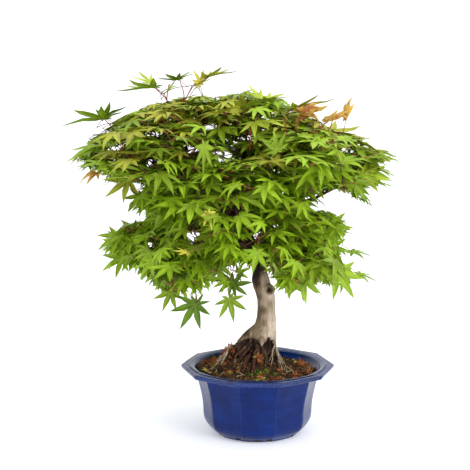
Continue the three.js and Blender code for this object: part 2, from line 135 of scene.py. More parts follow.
def bell(x, width):  # 1 where x is nought, fading out on both sides
    return np.exp(-(x / width) ** 2)


def turned(vector, degrees):  # about +Z
    c, s = math.cos(math.radians(degrees)), math.sin(math.radians(degrees))
    return np.array([c * vector[0] - s * vector[1], s * vector[0] + c * vector[1], vector[2]])


# Seeded random numbers from 0 to 1, the same run of them as the solids grow by
def seeded(seed):
    state = [seed & 0xFFFFFFFF]

    def draw():
        state[0] = (state[0] + 0x6D2B79F5) & 0xFFFFFFFF
        s = state[0]
        t = ((s ^ (s >> 15)) * (s | 1)) & 0xFFFFFFFF
        t ^= (t + (((t ^ (t >> 7)) * (t | 61)) & 0xFFFFFFFF)) & 0xFFFFFFFF
        return ((t ^ (t >> 14)) & 0xFFFFFFFF) / 4294967296

    return draw


def drawn(span, random):  # a number drawn between the two of a span, or the one that is given
    return mix(*span, random()) if isinstance(span, tuple) else span


# Smooth noise from -1 to 1: seeded numbers at the corners of a lattice, eased between them
def lumps(points, size, seed):
    side = 24
    lattice = np.random.default_rng(seed).uniform(-1, 1, (side, side, side))
    cell = np.asarray(points, float) / size
    base = np.floor(cell).astype(int)
    f = cell - base
    f = f * f * (3 - 2 * f)
    total = 0
    for corner in np.ndindex(2, 2, 2):
        i, j, k = [(base[..., axis] + corner[axis]) % side for axis in range(3)]
        share = [f[..., axis] if corner[axis] else 1 - f[..., axis] for axis in range(3)]
        total = total + lattice[i, j, k] * share[0] * share[1] * share[2]
    return total


# The same noise as a shift along each axis, for the points of a run
def shifts(run, size, seed):
    return np.stack([lumps(run, size, seed + k) for k in range(3)], -1)


# Meshes from arrays. Every piece is in place in its mesh and rides on the one body.

def addPiece(name, points, faces, material, replaces=(), smooth=True, attributes=None):
    mesh = bpy.data.meshes.new(name)
    points = np.asarray(points, float).reshape(-1, 3) * mm
    faces = [np.asarray(block, int) for block in faces if len(block)]
    sizes = np.concatenate([np.full(len(block), block.shape[1]) for block in faces])
    corners = np.concatenate([block.ravel() for block in faces])
    mesh.vertices.add(len(points))
    mesh.vertices.foreach_set("co", points.ravel())
    mesh.loops.add(len(corners))
    mesh.loops.foreach_set("vertex_index", corners.astype(np.int32))
    mesh.polygons.add(len(sizes))
    starts = np.concatenate([[0], np.cumsum(sizes)[:-1]])
    mesh.polygons.foreach_set("loop_start", starts.astype(np.int32))
    mesh.update(calc_edges=True)
    mesh.polygons.foreach_set("use_smooth", np.full(len(sizes), smooth))
    for key, values in (attributes or {}).items():
        layer = mesh.attributes.new(key, "FLOAT", "POINT")
        layer.data.foreach_set("value", np.asarray(values, np.float32).ravel())
    mesh.validate()
    piece = bpy.data.objects.new(name, mesh)
    mesh.materials.append(material)
    bpy.context.scene.collection.objects.link(piece)
    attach(piece, "root")
    if replaces:
        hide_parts(*replaces)
    print(name, len(points), "points", len(sizes), "faces")
    return piece


# The faces of one shape, for count shapes of as many points each
def repeated(faces, count, each):
    return (faces[None] + (np.arange(count) * each)[:, None, None]).reshape(-1, faces.shape[1])


# Faces of a grid of rows by columns that closes on itself, with a fan of faces at either end to the two
# points that follow the grid's own
def closedFaces(rows, columns):
    i, j = np.meshgrid(np.arange(rows - 1), np.arange(columns), indexing="ij")
    after = (j + 1) % columns
    here, above = i * columns, (i + 1) * columns
    quads = np.stack([here + j, here + after, above + after, above + j], -1).reshape(-1, 4)
    j, after, last = j[0], after[0], (rows - 1) * columns
    caps = [np.stack([after, j, np.full(columns, rows * columns)], -1),
            np.stack([last + j, last + after, np.full(columns, rows * columns + 1)], -1)]
    return [quads, np.concatenate(caps)]


# Tubes along many paths of as many points each: rings of points round each path, square to it,
# and a point at each end. paths is (tubes, stations, 3) and radii is (tubes, stations).
def tubes(paths, radii, sides, relief=None):
    paths = np.asarray(paths, float)
    radii = np.asarray(radii, float)
    count, stations = paths.shape[:2]
    along = unit(np.gradient(paths, axis=1))
    whole = unit(paths[:, -1] - paths[:, 0])
    guide = np.where(np.abs(whole[:, 2:3]) > 0.8, [[1.0, 0, 0]], [[0, 0, 1.0]])
    across = unit(np.cross(along, guide[:, None, :]))
    over = np.cross(along, across)
    turn = np.arange(sides) * 2 * math.pi / sides
    ring = np.cos(turn)[:, None] * across[:, :, None, :] + np.sin(turn)[:, None] * over[:, :, None, :]
    reach = np.repeat(radii[:, :, None], sides, axis=2)
    if relief is not None:
        reach = reach * relief(paths[:, :, None, :] + ring * reach[..., None], turn)
    body = paths[:, :, None, :] + ring * reach[..., None]
    points = np.concatenate([body.reshape(count, -1, 3), paths[:, :1], paths[:, -1:]], axis=1)
    faces = [repeated(block, count, points.shape[1]) for block in closedFaces(stations, sides)]
    return points.reshape(-1, 3), faces


# Smooth centripetal curve through a few points, as places at even steps of its length
def smoothCurve(points, count):
    p = np.asarray(points, float)
    p = np.concatenate([[2 * p[0] - p[1]], p, [2 * p[-1] - p[-2]]])
    before, start, end, after = p[:-3], p[1:-2], p[2:-1], p[3:]
    pairs = ((before, start), (start, end), (end, after))
    gap = [np.sqrt(np.linalg.norm(b - a, axis=1, keepdims=True)) for a, b in pairs]
    slope = [(b - a) / g for (a, b), g in zip(pairs, gap)]
    first = (slope[0] - (end - before) / (gap[0] + gap[1]) + slope[1]) * gap[1]
    second = (slope[1] - (after - start) / (gap[1] + gap[2]) + slope[2]) * gap[1]
    steps = 24  # between one point and the next
    t = (np.arange(steps) / steps)[None, :, None]
    a, b, m, n = start[:, None], end[:, None], first[:, None], second[:, None]
    run = a + m * t + (3 * (b - a) - 2 * m - n) * t ** 2 + (2 * (a - b) + m + n) * t ** 3
    dense = np.concatenate([run.reshape(-1, 3), p[-2:-1]])
    stations = np.concatenate([[0], np.cumsum(np.linalg.norm(np.diff(dense, axis=0), axis=1))])
    wanted = np.linspace(0, stations[-1], count)
    return np.stack([np.interp(wanted, stations, dense[:, axis]) for axis in range(3)], -1)


# Radii given at a limb's points, spread over even steps of its length
def spreadRadii(points, radii, count):
    steps = np.linalg.norm(np.diff(np.asarray(points, float), axis=0), axis=1)
    stations = np.concatenate([[0], np.cumsum(steps)]) / steps.sum()
    return np.interp(np.linspace(0, 1, count), stations, radii)


# A run of points from start to end that bows upwards by a share of its length
def arc(start, end, count, bow):
    t = np.linspace(0, 1, count)[:, None]
    lift = 4 * t * (1 - t) * bow * np.linalg.norm(np.subtract(end, start))
    return mix(np.asarray(start, float), np.asarray(end, float), t) + lift * np.array([0, 0, 1.0])


# Materials

def newMaterial(name, colour, roughness, specular):
    material = bpy.data.materials.new(name)
    material.use_nodes = True
    shader = material.node_tree.nodes["Principled BSDF"]
    shader.inputs["Base Color"].default_value = (*colour, 1)
    shader.inputs["Roughness"].default_value = roughness
    shader.inputs["Specular IOR Level"].default_value = specular
    return material, shader


def newNode(material, kind, **settings):
    node = material.node_tree.nodes.new(kind)
    for key, value in settings.items():
        if key in node.inputs:
            node.inputs[key].default_value = value
        else:
            setattr(node, key, value)
    return node


def join(material, source, target):
    material.node_tree.links.new(source, target)


def sRGB(red, green, blue):  # eight-bit display values to the linear ones that shaders take
    values = np.array([red, green, blue]) / 255
    return tuple(np.where(values <= 0.04045, values / 12.92, ((values + 0.055) / 1.055) ** 2.4))


def noiseNode(material, scale, detail, stretch=(1, 1, 1)):
    place = newNode(material, "ShaderNodeTexCoord")
    mapping = newNode(material, "ShaderNodeMapping")
    mapping.inputs["Scale"].default_value = stretch
    noise = newNode(material, "ShaderNodeTexNoise", Scale=scale, Detail=detail)
    join(material, place.outputs["Object"], mapping.inputs["Vector"])
    join(material, mapping.outputs["Vector"], noise.inputs["Vector"])
    return noise.outputs["Fac"]


# Colours run from one to the next as a value goes through the given stops
def rampNode(material, value, stops):
    ramp = newNode(material, "ShaderNodeValToRGB")
    elements = ramp.color_ramp.elements
    while len(elements) < len(stops):
        elements.new(0.5)
    for element, (at, colour) in zip(elements, stops):
        element.position = at
        element.color = (*colour, 1)
    join(material, value, ramp.inputs["Fac"])
    return ramp.outputs["Color"]


def blendNode(material, value, first, second, blend="MIX"):
    node = newNode(material, "ShaderNodeMix", data_type="RGBA", blend_type=blend)
    if isinstance(value, (int, float)):
        node.inputs[0].default_value = value
    else:
        join(material, value, node.inputs[0])
    for socket, colour in ((node.inputs[6], first), (node.inputs[7], second)):
        if isinstance(colour, tuple):
            socket.default_value = (*colour, 1)
        else:
            join(material, colour, socket)
    return node.outputs[2]


def bumpNode(material, shader, height, depth, strength):  # depth in metres
    bump = newNode(material, "ShaderNodeBump", Strength=strength, Distance=depth)
    join(material, height, bump.inputs["Height"])
    join(material, bump.outputs["Normal"], shader.inputs["Normal"])


def attributeNode(material, name):
    return newNode(material, "ShaderNodeAttribute", attribute_name=name).outputs["Fac"]


# Pot: the profile of a flared body, a flat rim and a round basin, turned round the axis. Outside it
# runs to a regular ten-sided outline, and its inside is round.
pot = {
    "sides": 10, "around": 400, "height": 99,
    "footInner": 46, "footRadius": 60, "footFlare": 3.4, "footHeight": 4,
    "haunch": [(68.6, 7.2, 0.65), (72.8, 11, 0.75), (75.8, 15.5, 0.85), (77.7, 21, 0.95)],
    "bellyRadius": 78.5, "bellyHeight": 27, "neckRadius": 89.5, "neckHeight": 87, "flare": 1.8,
    "rimRadius": 111, "rimThickness": 7.5, "rimFall": 1.2, "rimUndercut": 2.2,
    "mouthRadius": 92, "throatRadius": 80, "throatDepth": 11, "basinRadius": 64, "basinFloor": 9,
    # shallow recesses in the foot, coloured dark as the painted shadow of its openings: their compass turns,
    # width and depth
    "openings": (-150, -116, -75, -39, 20, 75, 130), "openingWidth": 6, "openingInner": 58.6,
    "openingDepth": 1.2,
    # how far corners of the profile are rounded, and how blunt the ten corners are low down and at the rim
    "softness": 2.2, "bluntLow": 0.0035, "bluntHigh": 0.0008,
    "blue": sRGB(6, 42, 114), "deepBlue": sRGB(5, 27, 84), "paleGlaze": sRGB(150, 164, 196),
    # bare clay, dark enough to serve also as the painted shadow in the foot's recesses
    "clayAndShadow": sRGB(24, 22, 22),
}


# Corners of an open profile cut to short arcs: each corner becomes four points on a curve that
# leaves and meets its two runs at the given reach
def softened(profile, reach):
    profile = np.asarray(profile, float)
    out = [profile[0]]
    for before, corner, after in zip(profile[:-2], profile[1:-1], profile[2:]):
        back, ahead = before[:2] - corner[:2], after[:2] - corner[:2]
        cut = min(reach, 0.4 * np.linalg.norm(back), 0.4 * np.linalg.norm(ahead))
        for t in (0, 0.33, 0.67, 1):
            near = corner[:2] + unit(back) * cut * (1 - t) ** 2 + unit(ahead) * cut * t ** 2
            out.append([*near, *corner[2:]])
    return np.array([*out, profile[-1]])


# Each point of the profile is carried round the axis. Its distance from the axis is the profile's radius,
# drawn in towards the middle of each of the ten sides by its share of the ten-sided outline.
def buildPot():
    p = pot
    under = p["height"] - p["rimThickness"]
    throat = p["height"] - p["throatDepth"]
    ridge = p["mouthRadius"] / math.cos(math.pi / p["sides"])
    wall = [[mix(p["bellyRadius"], p["neckRadius"], s ** p["flare"]),
             mix(p["bellyHeight"], p["neckHeight"], s), 1, 0] for s in np.linspace(0, 1, 9)]
    # Radius, height, share of the ten-sided outline, wear of the glaze
    profile = [
        [p["footInner"], 0, 0.4, 0], [p["openingInner"], 0, 0.4, 0], [p["footRadius"], 0, 0.4, 0],
        [p["footRadius"] + p["footFlare"], p["footHeight"], 0.5, 0.3],
        *[[radius, height, share, 0] for radius, height, share in p["haunch"]],
        *wall,
        [p["neckRadius"] + 5, p["neckHeight"] + 1.8, 1, 0],
        [p["rimRadius"] - p["rimUndercut"], under, 1, 0.1],
        [p["rimRadius"], p["height"] - p["rimFall"], 1, 0.16],
        [mix(p["rimRadius"], ridge, 0.7), p["height"] - 1.1, 1, 0.04],
        [ridge + 1.5, p["height"], 0.4, 0.22],
        [p["mouthRadius"] - 1, p["height"] - 1.2, 0, 0.6],
        [p["mouthRadius"] - 3.5, p["height"] - 5, 0, 0],
        [p["throatRadius"], throat, 0, 0],
        [mix(p["basinRadius"] + 5, p["throatRadius"], 0.35), mix(p["basinFloor"], throat, 0.62), 0, 0],
        [p["basinRadius"] + 5, p["basinFloor"] + 10, 0, 0],
        [p["basinRadius"], p["basinFloor"], 0, 0],
        [p["basinRadius"] - 40, p["basinFloor"], 0, 0],
    ]
    profile = softened(profile, p["softness"])
    finer = np.linspace(0, len(profile) - 1, 2 * len(profile) - 1)
    profile = np.stack([np.interp(finer, np.arange(len(profile)), profile[:, k]) for k in range(4)], -1)
    radius, height, share, wear = [profile[:, k][:, None] for k in range(4)]
    turn = np.arange(p["around"]) * 2 * math.pi / p["around"]
    side = 2 * math.pi / p["sides"]
    offset = np.mod(turn, side) - side / 2
    flat = math.cos(side / 2) / np.cos(offset)
    # Corners are softer low on the body than on the rim
    blunt = mix(p["bluntLow"], p["bluntHigh"], ease(p["bellyHeight"], under, height))
    corner = flat - blunt * np.exp(-(1 - flat) / (2.5 * blunt)) * 2
    reach = radius * mix(1.0, corner, share)
    # The foot's recesses, which are coloured dark clay further down as painted shadow
    between = np.zeros_like(turn)
    for opening in p["openings"]:
        away = np.angle(np.exp(1j * (turn - math.radians(opening))))
        between += np.abs(np.sin(away)) * p["footRadius"] < p["openingWidth"] / 2 * (np.cos(away) > 0)
    low = (height < p["footHeight"] + 2) & (radius > p["openingInner"] - 1)
    cut = low & (between[None, :] > 0)
    reach = reach - np.where(cut, p["openingDepth"], 0)
    x, y, z = reach * np.cos(turn), reach * np.sin(turn), np.broadcast_to(height, reach.shape)
    points = np.stack(np.broadcast_arrays(x, y, z), -1)
    # The wall swells and sags by hand-made amounts, most at the foot
    swell = lumps(points, 22, 3) * 0.25 + lumps(points, 9, 4) * mix(0.9, 0.08, ease(3, 9, points[..., 2]))
    points[..., :2] *= 1 + (swell * (height > 1) / 90)[..., None]
    points[..., 2] += swell * (height > p["neckHeight"])
    rows, columns = points.shape[:2]
    cornerWear = 0.05 * np.clip(1 - np.abs(np.abs(offset) - side / 2) * 60, 0, 1)
    worn = np.broadcast_to(wear, (rows, columns)) + cornerWear
    bare = np.clip((1.0 + 6.5 * lumps(points, 9, 6) - points[..., 2]) / 1.5, 0, 1)
    # The recesses count as bare, so they take the dark clay colour as painted shadow
    bare = np.maximum(bare, cut)
    points = np.concatenate([points.reshape(-1, 3), [[0, 0, 0], [0, 0, p["basinFloor"]]]])
    values = {"wear": np.append(worn, [0, 0]), "bare": np.append(bare, [1, 0])}
    addPiece("pot_glazed", points, closedFaces(rows, columns), glazeMaterial(), ["pot"],
             attributes=values)


# Cobalt glaze: pools of deeper blue, thin and pale where it is worn or breaks over an edge, glossy. It is
# dark bare clay at the foot, and the same dark clay in the foot's recesses is painted shadow
def glazeMaterial():
    material, shader = newMaterial("cobalt glaze", pot["blue"], 0.16, 0.17)
    blues = rampNode(material, noiseNode(material, 38, 4), [(0.3, pot["deepBlue"]), (0.7, pot["blue"])])
    streaks = noiseNode(material, 16, 4, (1, 1, 7))
    brushed = rampNode(material, streaks, [(0.38, (0.7, 0.72, 0.8)), (0.62, (1, 1, 1))])
    blues = blendNode(material, 0.8, blues, brushed, "MULTIPLY")
    specks = rampNode(material, noiseNode(material, 900, 2), [(0.35, (0, 0, 0)), (0.62, (1, 1, 1))])
    wear = newNode(material, "ShaderNodeMath", operation="MULTIPLY")
    join(material, attributeNode(material, "wear"), wear.inputs[0])
    join(material, specks, wear.inputs[1])
    worn = blendNode(material, wear.outputs[0], blues, pot["paleGlaze"])
    clayAndShadow = blendNode(material, attributeNode(material, "bare"), worn, pot["clayAndShadow"])
    join(material, clayAndShadow, shader.inputs["Base Color"])
    rough = newNode(material, "ShaderNodeMapRange", **{"To Min": 0.12, "To Max": 0.34})
    join(material, noiseNode(material, 160, 3), rough.inputs["Value"])
    join(material, rough.outputs["Result"], shader.inputs["Roughness"])
    bumpNode(material, shader, noiseNode(material, 120, 3), 0.0004, 0.35)
    return material


# Soil: heaped towards the trunk as the solid is, with crumbs, fallen leaves and moss on it
soil = {
    "edge": 87, "level": 92.5, "leftRise": 4.0, "heap": (-12, 0), "heapWidth": 52, "heapRise": 17,
    "rings": 70, "around": 240, "roughness": 1.5, "skirtDepth": 14, "baseDepth": 26,
    "crumbs": 6500, "crumbSize": (0.5, 1.7),
}


# A field that rises to the left, with an eased heap under the trunk
def soilHeight(x, y):
    away = np.hypot((x - soil["heap"][0]) / 1.15, y - soil["heap"][1]) / soil["heapWidth"]
    field = soil["level"] - soil["leftRise"] * x / soil["edge"]
    return field + soil["heapRise"] * (1 - ease(0.25, 1.15, away))


# The same height with lumps of three sizes
def soilSurface(x, y):
    z = soilHeight(x, y)
    at = np.stack(np.broadcast_arrays(x, y, z), -1)
    rough = lumps(at, 9, 11) + 0.6 * lumps(at, 4, 12) + 0.35 * lumps(at, 1.8, 13)
    return z + soil["roughness"] * rough - 0.6


# Rings of the surface from the middle to the edge, then a skirt and a base that stay inside the pot
def buildSoil():
    radius = soil["edge"] * np.linspace(0, 1, soil["rings"] + 1)[1:, None]
    turn = np.arange(soil["around"]) * 2 * math.pi / soil["around"]
    x, y = radius * np.cos(turn), radius * np.sin(turn)
    rows = [np.stack([x, y, soilSurface(x, y)], -1)]
    for share, depth in ((0.9, soil["skirtDepth"]), (0.8, soil["baseDepth"])):
        level = np.full_like(x[-1], pot["height"] - depth)
        rows.append(np.stack([x[-1] * share, y[-1] * share, level], -1)[None])
    points = np.concatenate(rows)
    faces = [block[:, ::-1] for block in closedFaces(*points.shape[:2])]
    ends = [[0, 0, soilSurface(0.0, 0.0)], [0, 0, pot["height"] - soil["baseDepth"]]]
    points = np.concatenate([points.reshape(-1, 3), ends])
    addPiece("soil_mound", points, faces, earthMaterial(), ["soil"])


# Dark brown grains, with patches of mossy green among them
def earthMaterial():
    material, shader = newMaterial("dark earth", sRGB(52, 36, 24), 0.95, 0.2)
    grains = noiseNode(material, 420, 4)
    browns = [(0.3, sRGB(19, 12, 7)), (0.5, sRGB(45, 33, 19)), (0.72, sRGB(82, 61, 38))]
    greens = [(0.3, sRGB(30, 30, 10)), (0.7, sRGB(78, 84, 26))]
    patches = rampNode(material, noiseNode(material, 45, 3), [(0.42, (0, 0, 0)), (0.6, (1, 1, 1))])
    brown, green = rampNode(material, grains, browns), rampNode(material, grains, greens)
    join(material, blendNode(material, patches, brown, green), shader.inputs["Base Color"])
    bumpNode(material, shader, noiseNode(material, 700, 4), 0.0012, 0.8)
    return material


# Crumbs: small nine-cornered lumps, each squashed, turned and rough in its own way
crumb = {
    "corners": np.array([[1, 0, 0], [0, 1, 0], [-1, 0, 0], [0, -1, 0], [0.6, 0.6, 0.7], [-0.7, 0.5, 0.7],
                         [-0.5, -0.7, 0.6], [0.7, -0.6, 0.6], [0, 0, -0.8]], float),
    "faces": np.array([[0, 1, 4], [1, 5, 4], [1, 2, 5], [2, 6, 5], [2, 3, 6], [3, 7, 6], [3, 0, 7],
                       [0, 4, 7], [4, 5, 6], [4, 6, 7], [1, 0, 8], [2, 1, 8], [3, 2, 8], [0, 3, 8]]),
    # share of all crumbs, dark and light colour, size against the others
    "kinds": {
        "crumbs_dark": (0.5, sRGB(30, 21, 13), sRGB(66, 47, 30), 1),
        "crumbs_brown": (0.34, sRGB(70, 48, 28), sRGB(112, 80, 48), 1),
        "crumbs_rust": (0.08, sRGB(120, 66, 30), sRGB(168, 98, 50), 1),
        "crumbs_pale": (0.04, sRGB(140, 122, 92), sRGB(190, 172, 138), 0.75),
    },
}


# Each crumb is the same lump with its corners stretched and shifted, turned about z and tipped about x
def crumbs(centres, sizes, seed):
    random = np.random.default_rng(seed)
    count, corners = len(centres), len(crumb["corners"])
    shape = crumb["corners"] * random.uniform(0.6, 1.2, (count, 1, 3))
    shape = shape + random.uniform(-0.2, 0.2, (count, corners, 3))
    a, b = random.uniform(0, 2 * math.pi, (2, count, 1))
    x, y, z = shape[..., 0], shape[..., 1], shape[..., 2]
    x, y = x * np.cos(a) - y * np.sin(a), x * np.sin(a) + y * np.cos(a)
    y, z = y * np.cos(b / 4) - z * np.sin(b / 4), y * np.sin(b / 4) + z * np.cos(b / 4)
    points = centres[:, None] + np.stack([x, y, z], -1) * np.asarray(sizes)[:, None, None]
    return points.reshape(-1, 3), [repeated(crumb["faces"], count, corners)]


# Grainy: noise runs from a dark to a light colour, with a finer bump
def plainMaterial(name, dark, light, roughness=0.8):
    grain = 300
    material, shader = newMaterial(name, dark, roughness, 0.25)
    colour = rampNode(material, noiseNode(material, grain, 3), [(0.35, dark), (0.65, light)])
    join(material, colour, shader.inputs["Base Color"])
    bumpNode(material, shader, noiseNode(material, grain * 2.5, 3), 0.0003, 0.5)
    return material


# Random places on the soil, as dense at its edge as in its middle
def soilPlaces(count, random, reach=0.985):
    turn = random.uniform(0, 2 * math.pi, count)
    radius = (soil["edge"] - 2) * reach * np.sqrt(random.uniform(0, 1, count))
    x, y = radius * np.cos(turn), radius * np.sin(turn)
    return np.stack([x, y, soilSurface(x, y)], -1)


def buildCrumbs():
    random = np.random.default_rng(31)
    for seed, (name, (share, dark, light, scale)) in enumerate(crumb["kinds"].items()):
        centres = soilPlaces(int(soil["crumbs"] * share), random)
        sizes = random.uniform(*soil["crumbSize"], len(centres)) * scale
        centres[:, 2] += 0.1
        points, faces = crumbs(centres, sizes, 40 + seed)
        addPiece(name, points, faces, plainMaterial(name, dark, light), smooth=False)


# Moss and small sprouts: tufts of short pointed blades in a few patches, each a place and a spread
moss = {
    "patches": [(2, -44, 5), (12, -38, 2.5), (-10, -50, 3), (-2, -74, 2), (24, -42, 1.5), (-64, -12, 2.5),
                (-30, 50, 12), (-40, -46, 2)],
    "blades": 60, "length": (1.2, 3.4), "width": 0.75, "lean": 0.55,
}


# A blade is a four-sided foot that widens to its middle and a triangle that ends in its tip
def buildMoss():
    random = np.random.default_rng(52)
    places = []
    for x, y, spread in moss["patches"]:
        places.append([x, y] + random.normal(0, spread * 0.5, (moss["blades"], 2)))
    places = np.concatenate(places)
    places = places[np.hypot(places[:, 0], places[:, 1]) < soil["edge"] - 3]
    count = len(places)
    base = np.stack([places[:, 0], places[:, 1], soilSurface(places[:, 0], places[:, 1])], -1)
    lean = random.normal(0, moss["lean"], (count, 3)) * [1, 1, 0] + [0, 0, 1]
    length = random.uniform(*moss["length"], count)[:, None]
    turn = random.uniform(0, 2 * math.pi, count)
    side = np.stack([np.cos(turn), np.sin(turn), np.zeros(count)], -1) * moss["width"]
    middle = base + lean * length * 0.5
    tip = base + lean * length + random.normal(0, 0.8, (count, 3)) * [1, 1, 0.3]
    points = np.stack([base - side * 0.5, base + side * 0.5, middle + side, tip, middle - side], 1)
    faces = [repeated(np.array([[0, 1, 2, 4]]), count, 5), repeated(np.array([[4, 2, 3]]), count, 5)]
    green = plainMaterial("moss", sRGB(84, 120, 26), sRGB(160, 190, 66), 0.7)
    addPiece("moss_tufts", points, faces, green)


# Fallen leaves: whole small ones, curled and laid on the soil in their old-leaf tints
litter = {
    "count": 84, "size": (4.5, 10),
    # place, spread, number and height above the soil: two clumps are caught on the roots
    "clumps": [(-40, -8, 8, 24, 11), (1, -33, 6, 18, 12), (28, -62, 7, 8, 0), (-78, -30, 6, 6, 0),
               (70, -22, 7, 10, 0), (62, 20, 5, 5, 0)],
    # least and most droop, curl, fold, sway, ripple, phase and cup
    "bends": [(-1.3, 0.8), (-0.8, 0.5), (0.2, 1.6), (-0.3, 0.3), (0, 0.15), (0, 6.3), (-0.6, 0.8)],
    # share, dark and light colour
    "kinds": {
        "rust": (0.44, sRGB(140, 68, 34), sRGB(204, 126, 72)),
        "tan": (0.24, sRGB(120, 84, 50), sRGB(168, 128, 84)),
        "brown": (0.28, sRGB(72, 44, 26), sRGB(112, 72, 44)),
        "straw": (0.04, sRGB(166, 156, 70), sRGB(206, 196, 110)),
    },
}


# Leaves of the crown's own shape, small and far more bent, at random places and in the clumps
def buildLitter():
    random = np.random.default_rng(64)
    centres = soilPlaces(litter["count"], random, 0.97)
    centres[:, 2] = 0
    for x, y, spread, number, height in litter["clumps"]:
        clump = random.normal((x, y, height), (spread * 0.5, spread * 0.5, height * 0.2), (number, 3))
        centres = np.concatenate([centres, clump])
    centres = centres[np.hypot(centres[:, 0], centres[:, 1]) < soil["edge"] - 4]
    count = len(centres)
    base = centres + [0, 0, 1.4]
    base[:, 2] += soilSurface(centres[:, 0], centres[:, 1]) + random.uniform(0, 1.5, count)
    turn = random.uniform(0, 2 * math.pi, count)
    lobe = unit(np.stack([np.cos(turn), np.sin(turn), random.normal(0, 0.35, count)], -1))
    face = np.array([0, 0, 1.0]) + random.normal(0, 0.4, (count, 3))
    face = unit(face - lobe * dot(face, lobe))
    length = random.uniform(*litter["size"], count)
    bend = np.stack([random.uniform(least, most, count) for least, most in litter["bends"]], -1)
    kinds = litter["kinds"]
    dealt = random.choice(len(kinds), count, p=[share for share, _, _ in kinds.values()])
    flat, quads, triangles = leafLayer()
    for k, (name, (_, dark, light)) in enumerate(kinds.items()):
        own = dealt == k
        leaves = (base[own], lobe[own], face[own], np.cross(face[own], lobe[own]), length[own])
        points = placeLeaves(bendLeaves(flat, bend[own]), leaves)
        faces = [repeated(block, own.sum(), len(flat)) for block in (quads, triangles)]
        old = plainMaterial("fallen leaf " + name, dark, light, 0.75)
        addPiece("litter_" + name, points, faces, old)


# Dry stalks and twig ends lie about on the soil, each a short bowed tube
sticks = {"count": 60, "length": (5, 19), "radius": (0.3, 0.7), "stations": 6}


def buildSticks():
    random = np.random.default_rng(71)
    count, stations = sticks["count"], sticks["stations"]
    start = soilPlaces(count, random, 0.93)
    turn = random.uniform(0, 2 * math.pi, count)
    length = random.uniform(*sticks["length"], count)
    end = start[:, :2] + np.stack([np.cos(turn), np.sin(turn)], -1) * length[:, None]
    end *= np.minimum(1, (soil["edge"] - 4) / np.hypot(end[:, 0], end[:, 1]))[:, None]
    top = soilSurface(end[:, 0], end[:, 1]) + random.uniform(0, 4, count)
    end = np.concatenate([end, top[:, None]], -1)
    t = np.linspace(0, 1, stations)[None, :, None]
    runs = mix(start[:, None] + [0, 0, 0.8], end[:, None] + [0, 0, 0.8], t)
    runs = runs + 4 * t * (1 - t) * random.normal(0, 1.0, (count, 1, 3)) * [1, 1, 0.6]
    radii = np.broadcast_to(random.uniform(*sticks["radius"], count)[:, None], (count, stations))
    points, faces = tubes(runs, radii, 5)
    dry = plainMaterial("dry sticks", sRGB(138, 112, 80), sRGB(206, 184, 148))
    addPiece("dry_sticks", points, faces, dry)


# Trunk, from its foot in the soil to the tip that the topmost leaves grow on, and the stub of an older
# leader. The flutes of the foot fade out between two heights, and dark bark begins at another.
trunk = {
    "path": [[5, 0, 92], [7.5, 0, 128], [11, 0, 150], [12.5, 0, 176], [11, 0, 200], [5, 1, 217],
             [2, 2, 236], [-5, 5, 262], [-19, 9, 292], [-29, 9, 322], [-30, 4, 352], [-22, 0, 382],
             [-18, 0, 404]],
    "radii": [13, 20, 16.6, 13.2, 13.6, 12.2, 10, 8.4, 7.2, 6.2, 5.2, 4.2, 3.2],
    "stubPath": [[11, 0, 200], [15.5, -7, 207], [17.5, -13, 210]], "stubRadii": [11, 9, 6.8],
    "groundLevel": 97, "fluteHeights": (110, 165), "darkFrom": 222, "voxel": 1.15, "calmSteps": 5,
}
trunkFoot = np.array(trunk["path"][1][:2])

# Surface roots: compass turn, how far out they run, thickness, and how early they drop
rootTop = 149
roots = [
    (183, 74, 10, 0.16), (212, 64, 7, 0.5), (245, 46, 6, 0.9), (280, 32, 6, 1), (318, 38, 5, 1.2),
    (0, 38, 5, 1.3), (48, 42, 6, 0.9), (96, 50, 6.5, 0.7), (140, 62, 7, 0.45),
]

# Thinner roots from under the flare to the soil: dark ones, three in four of them on the left and in front,
# and pale ones in two places
darkRoots = {
    "count": 30, "height": (114, 132), "reach": (26, 56), "radius": (0.9, 2.9), "wander": 6,
    "bow": (-0.08, 0.16), "rightShare": 0.7,  # of the reach
    # compass turns and distance of the start
    "front": ((165, 266), (14, 25)), "behind": ((20, 160), (11, 15)),
}
paleRoots = {
    "from": [(-36, -8, 127), (24, -14, 132)], "to": [(-58, -14, 104), (34, -20, 97)], "each": 8,
    "fromSpread": (2, 4, 1.5), "toSpread": (9, 7, 0), "radius": (0.5, 1.2), "firstThicker": 0.8,
    "wander": 5, "bow": (-0.05, 0.12),
}
thinStations = 14

# Where the pale wood of the flare ends and the dark roots under it begin, picked in the photo
flareSeen = [(210, 362), (224, 350), (236, 344), (250, 338), (258, 340), (261, 347), (265, 342), (268, 338),
             (273, 340), (276, 349), (282, 357)]
flareX, _, flareZ = np.array([fromPhoto(px, py, -15) for px, py in flareSeen]).T


# A surface root runs out by a share of its reach and falls by a power of that share, late for a small sag
# and early for a large one
def rootPath(turn, reach, radius, sag):
    out = np.array([math.cos(math.radians(turn)), math.sin(math.radians(turn))])
    drop = rootTop - trunk["groundLevel"] + radius
    path = []
    for s in (0, 0.34, 0.68, 1):
        fall = drop * mix(s ** 1.15, s ** 0.62, sag)
        path.append([*(trunkFoot + out * mix(4, reach, s)), rootTop - fall])
    return path, [radius * share for share in (1.15, 1, 0.62, 0.4)]


# The trunk is round with slow swellings. Towards its foot it is fluted by two waves of the turn, and it
# has a collar where the dark bark begins.
def trunkRelief(points, turn):
    z = points[..., 2]
    foot = 1 - ease(*trunk["fluteHeights"], z)
    flutes = 0.1 * foot * np.sin(5 * turn + 0.6) + 0.09 * foot * (1 - 2 * np.abs(np.sin(5.5 * turn + 2)))
    collar = 0.07 * bell(z - trunk["darkFrom"], 5)
    return 1 + flutes + collar + 0.05 * lumps(points, 24, 5)


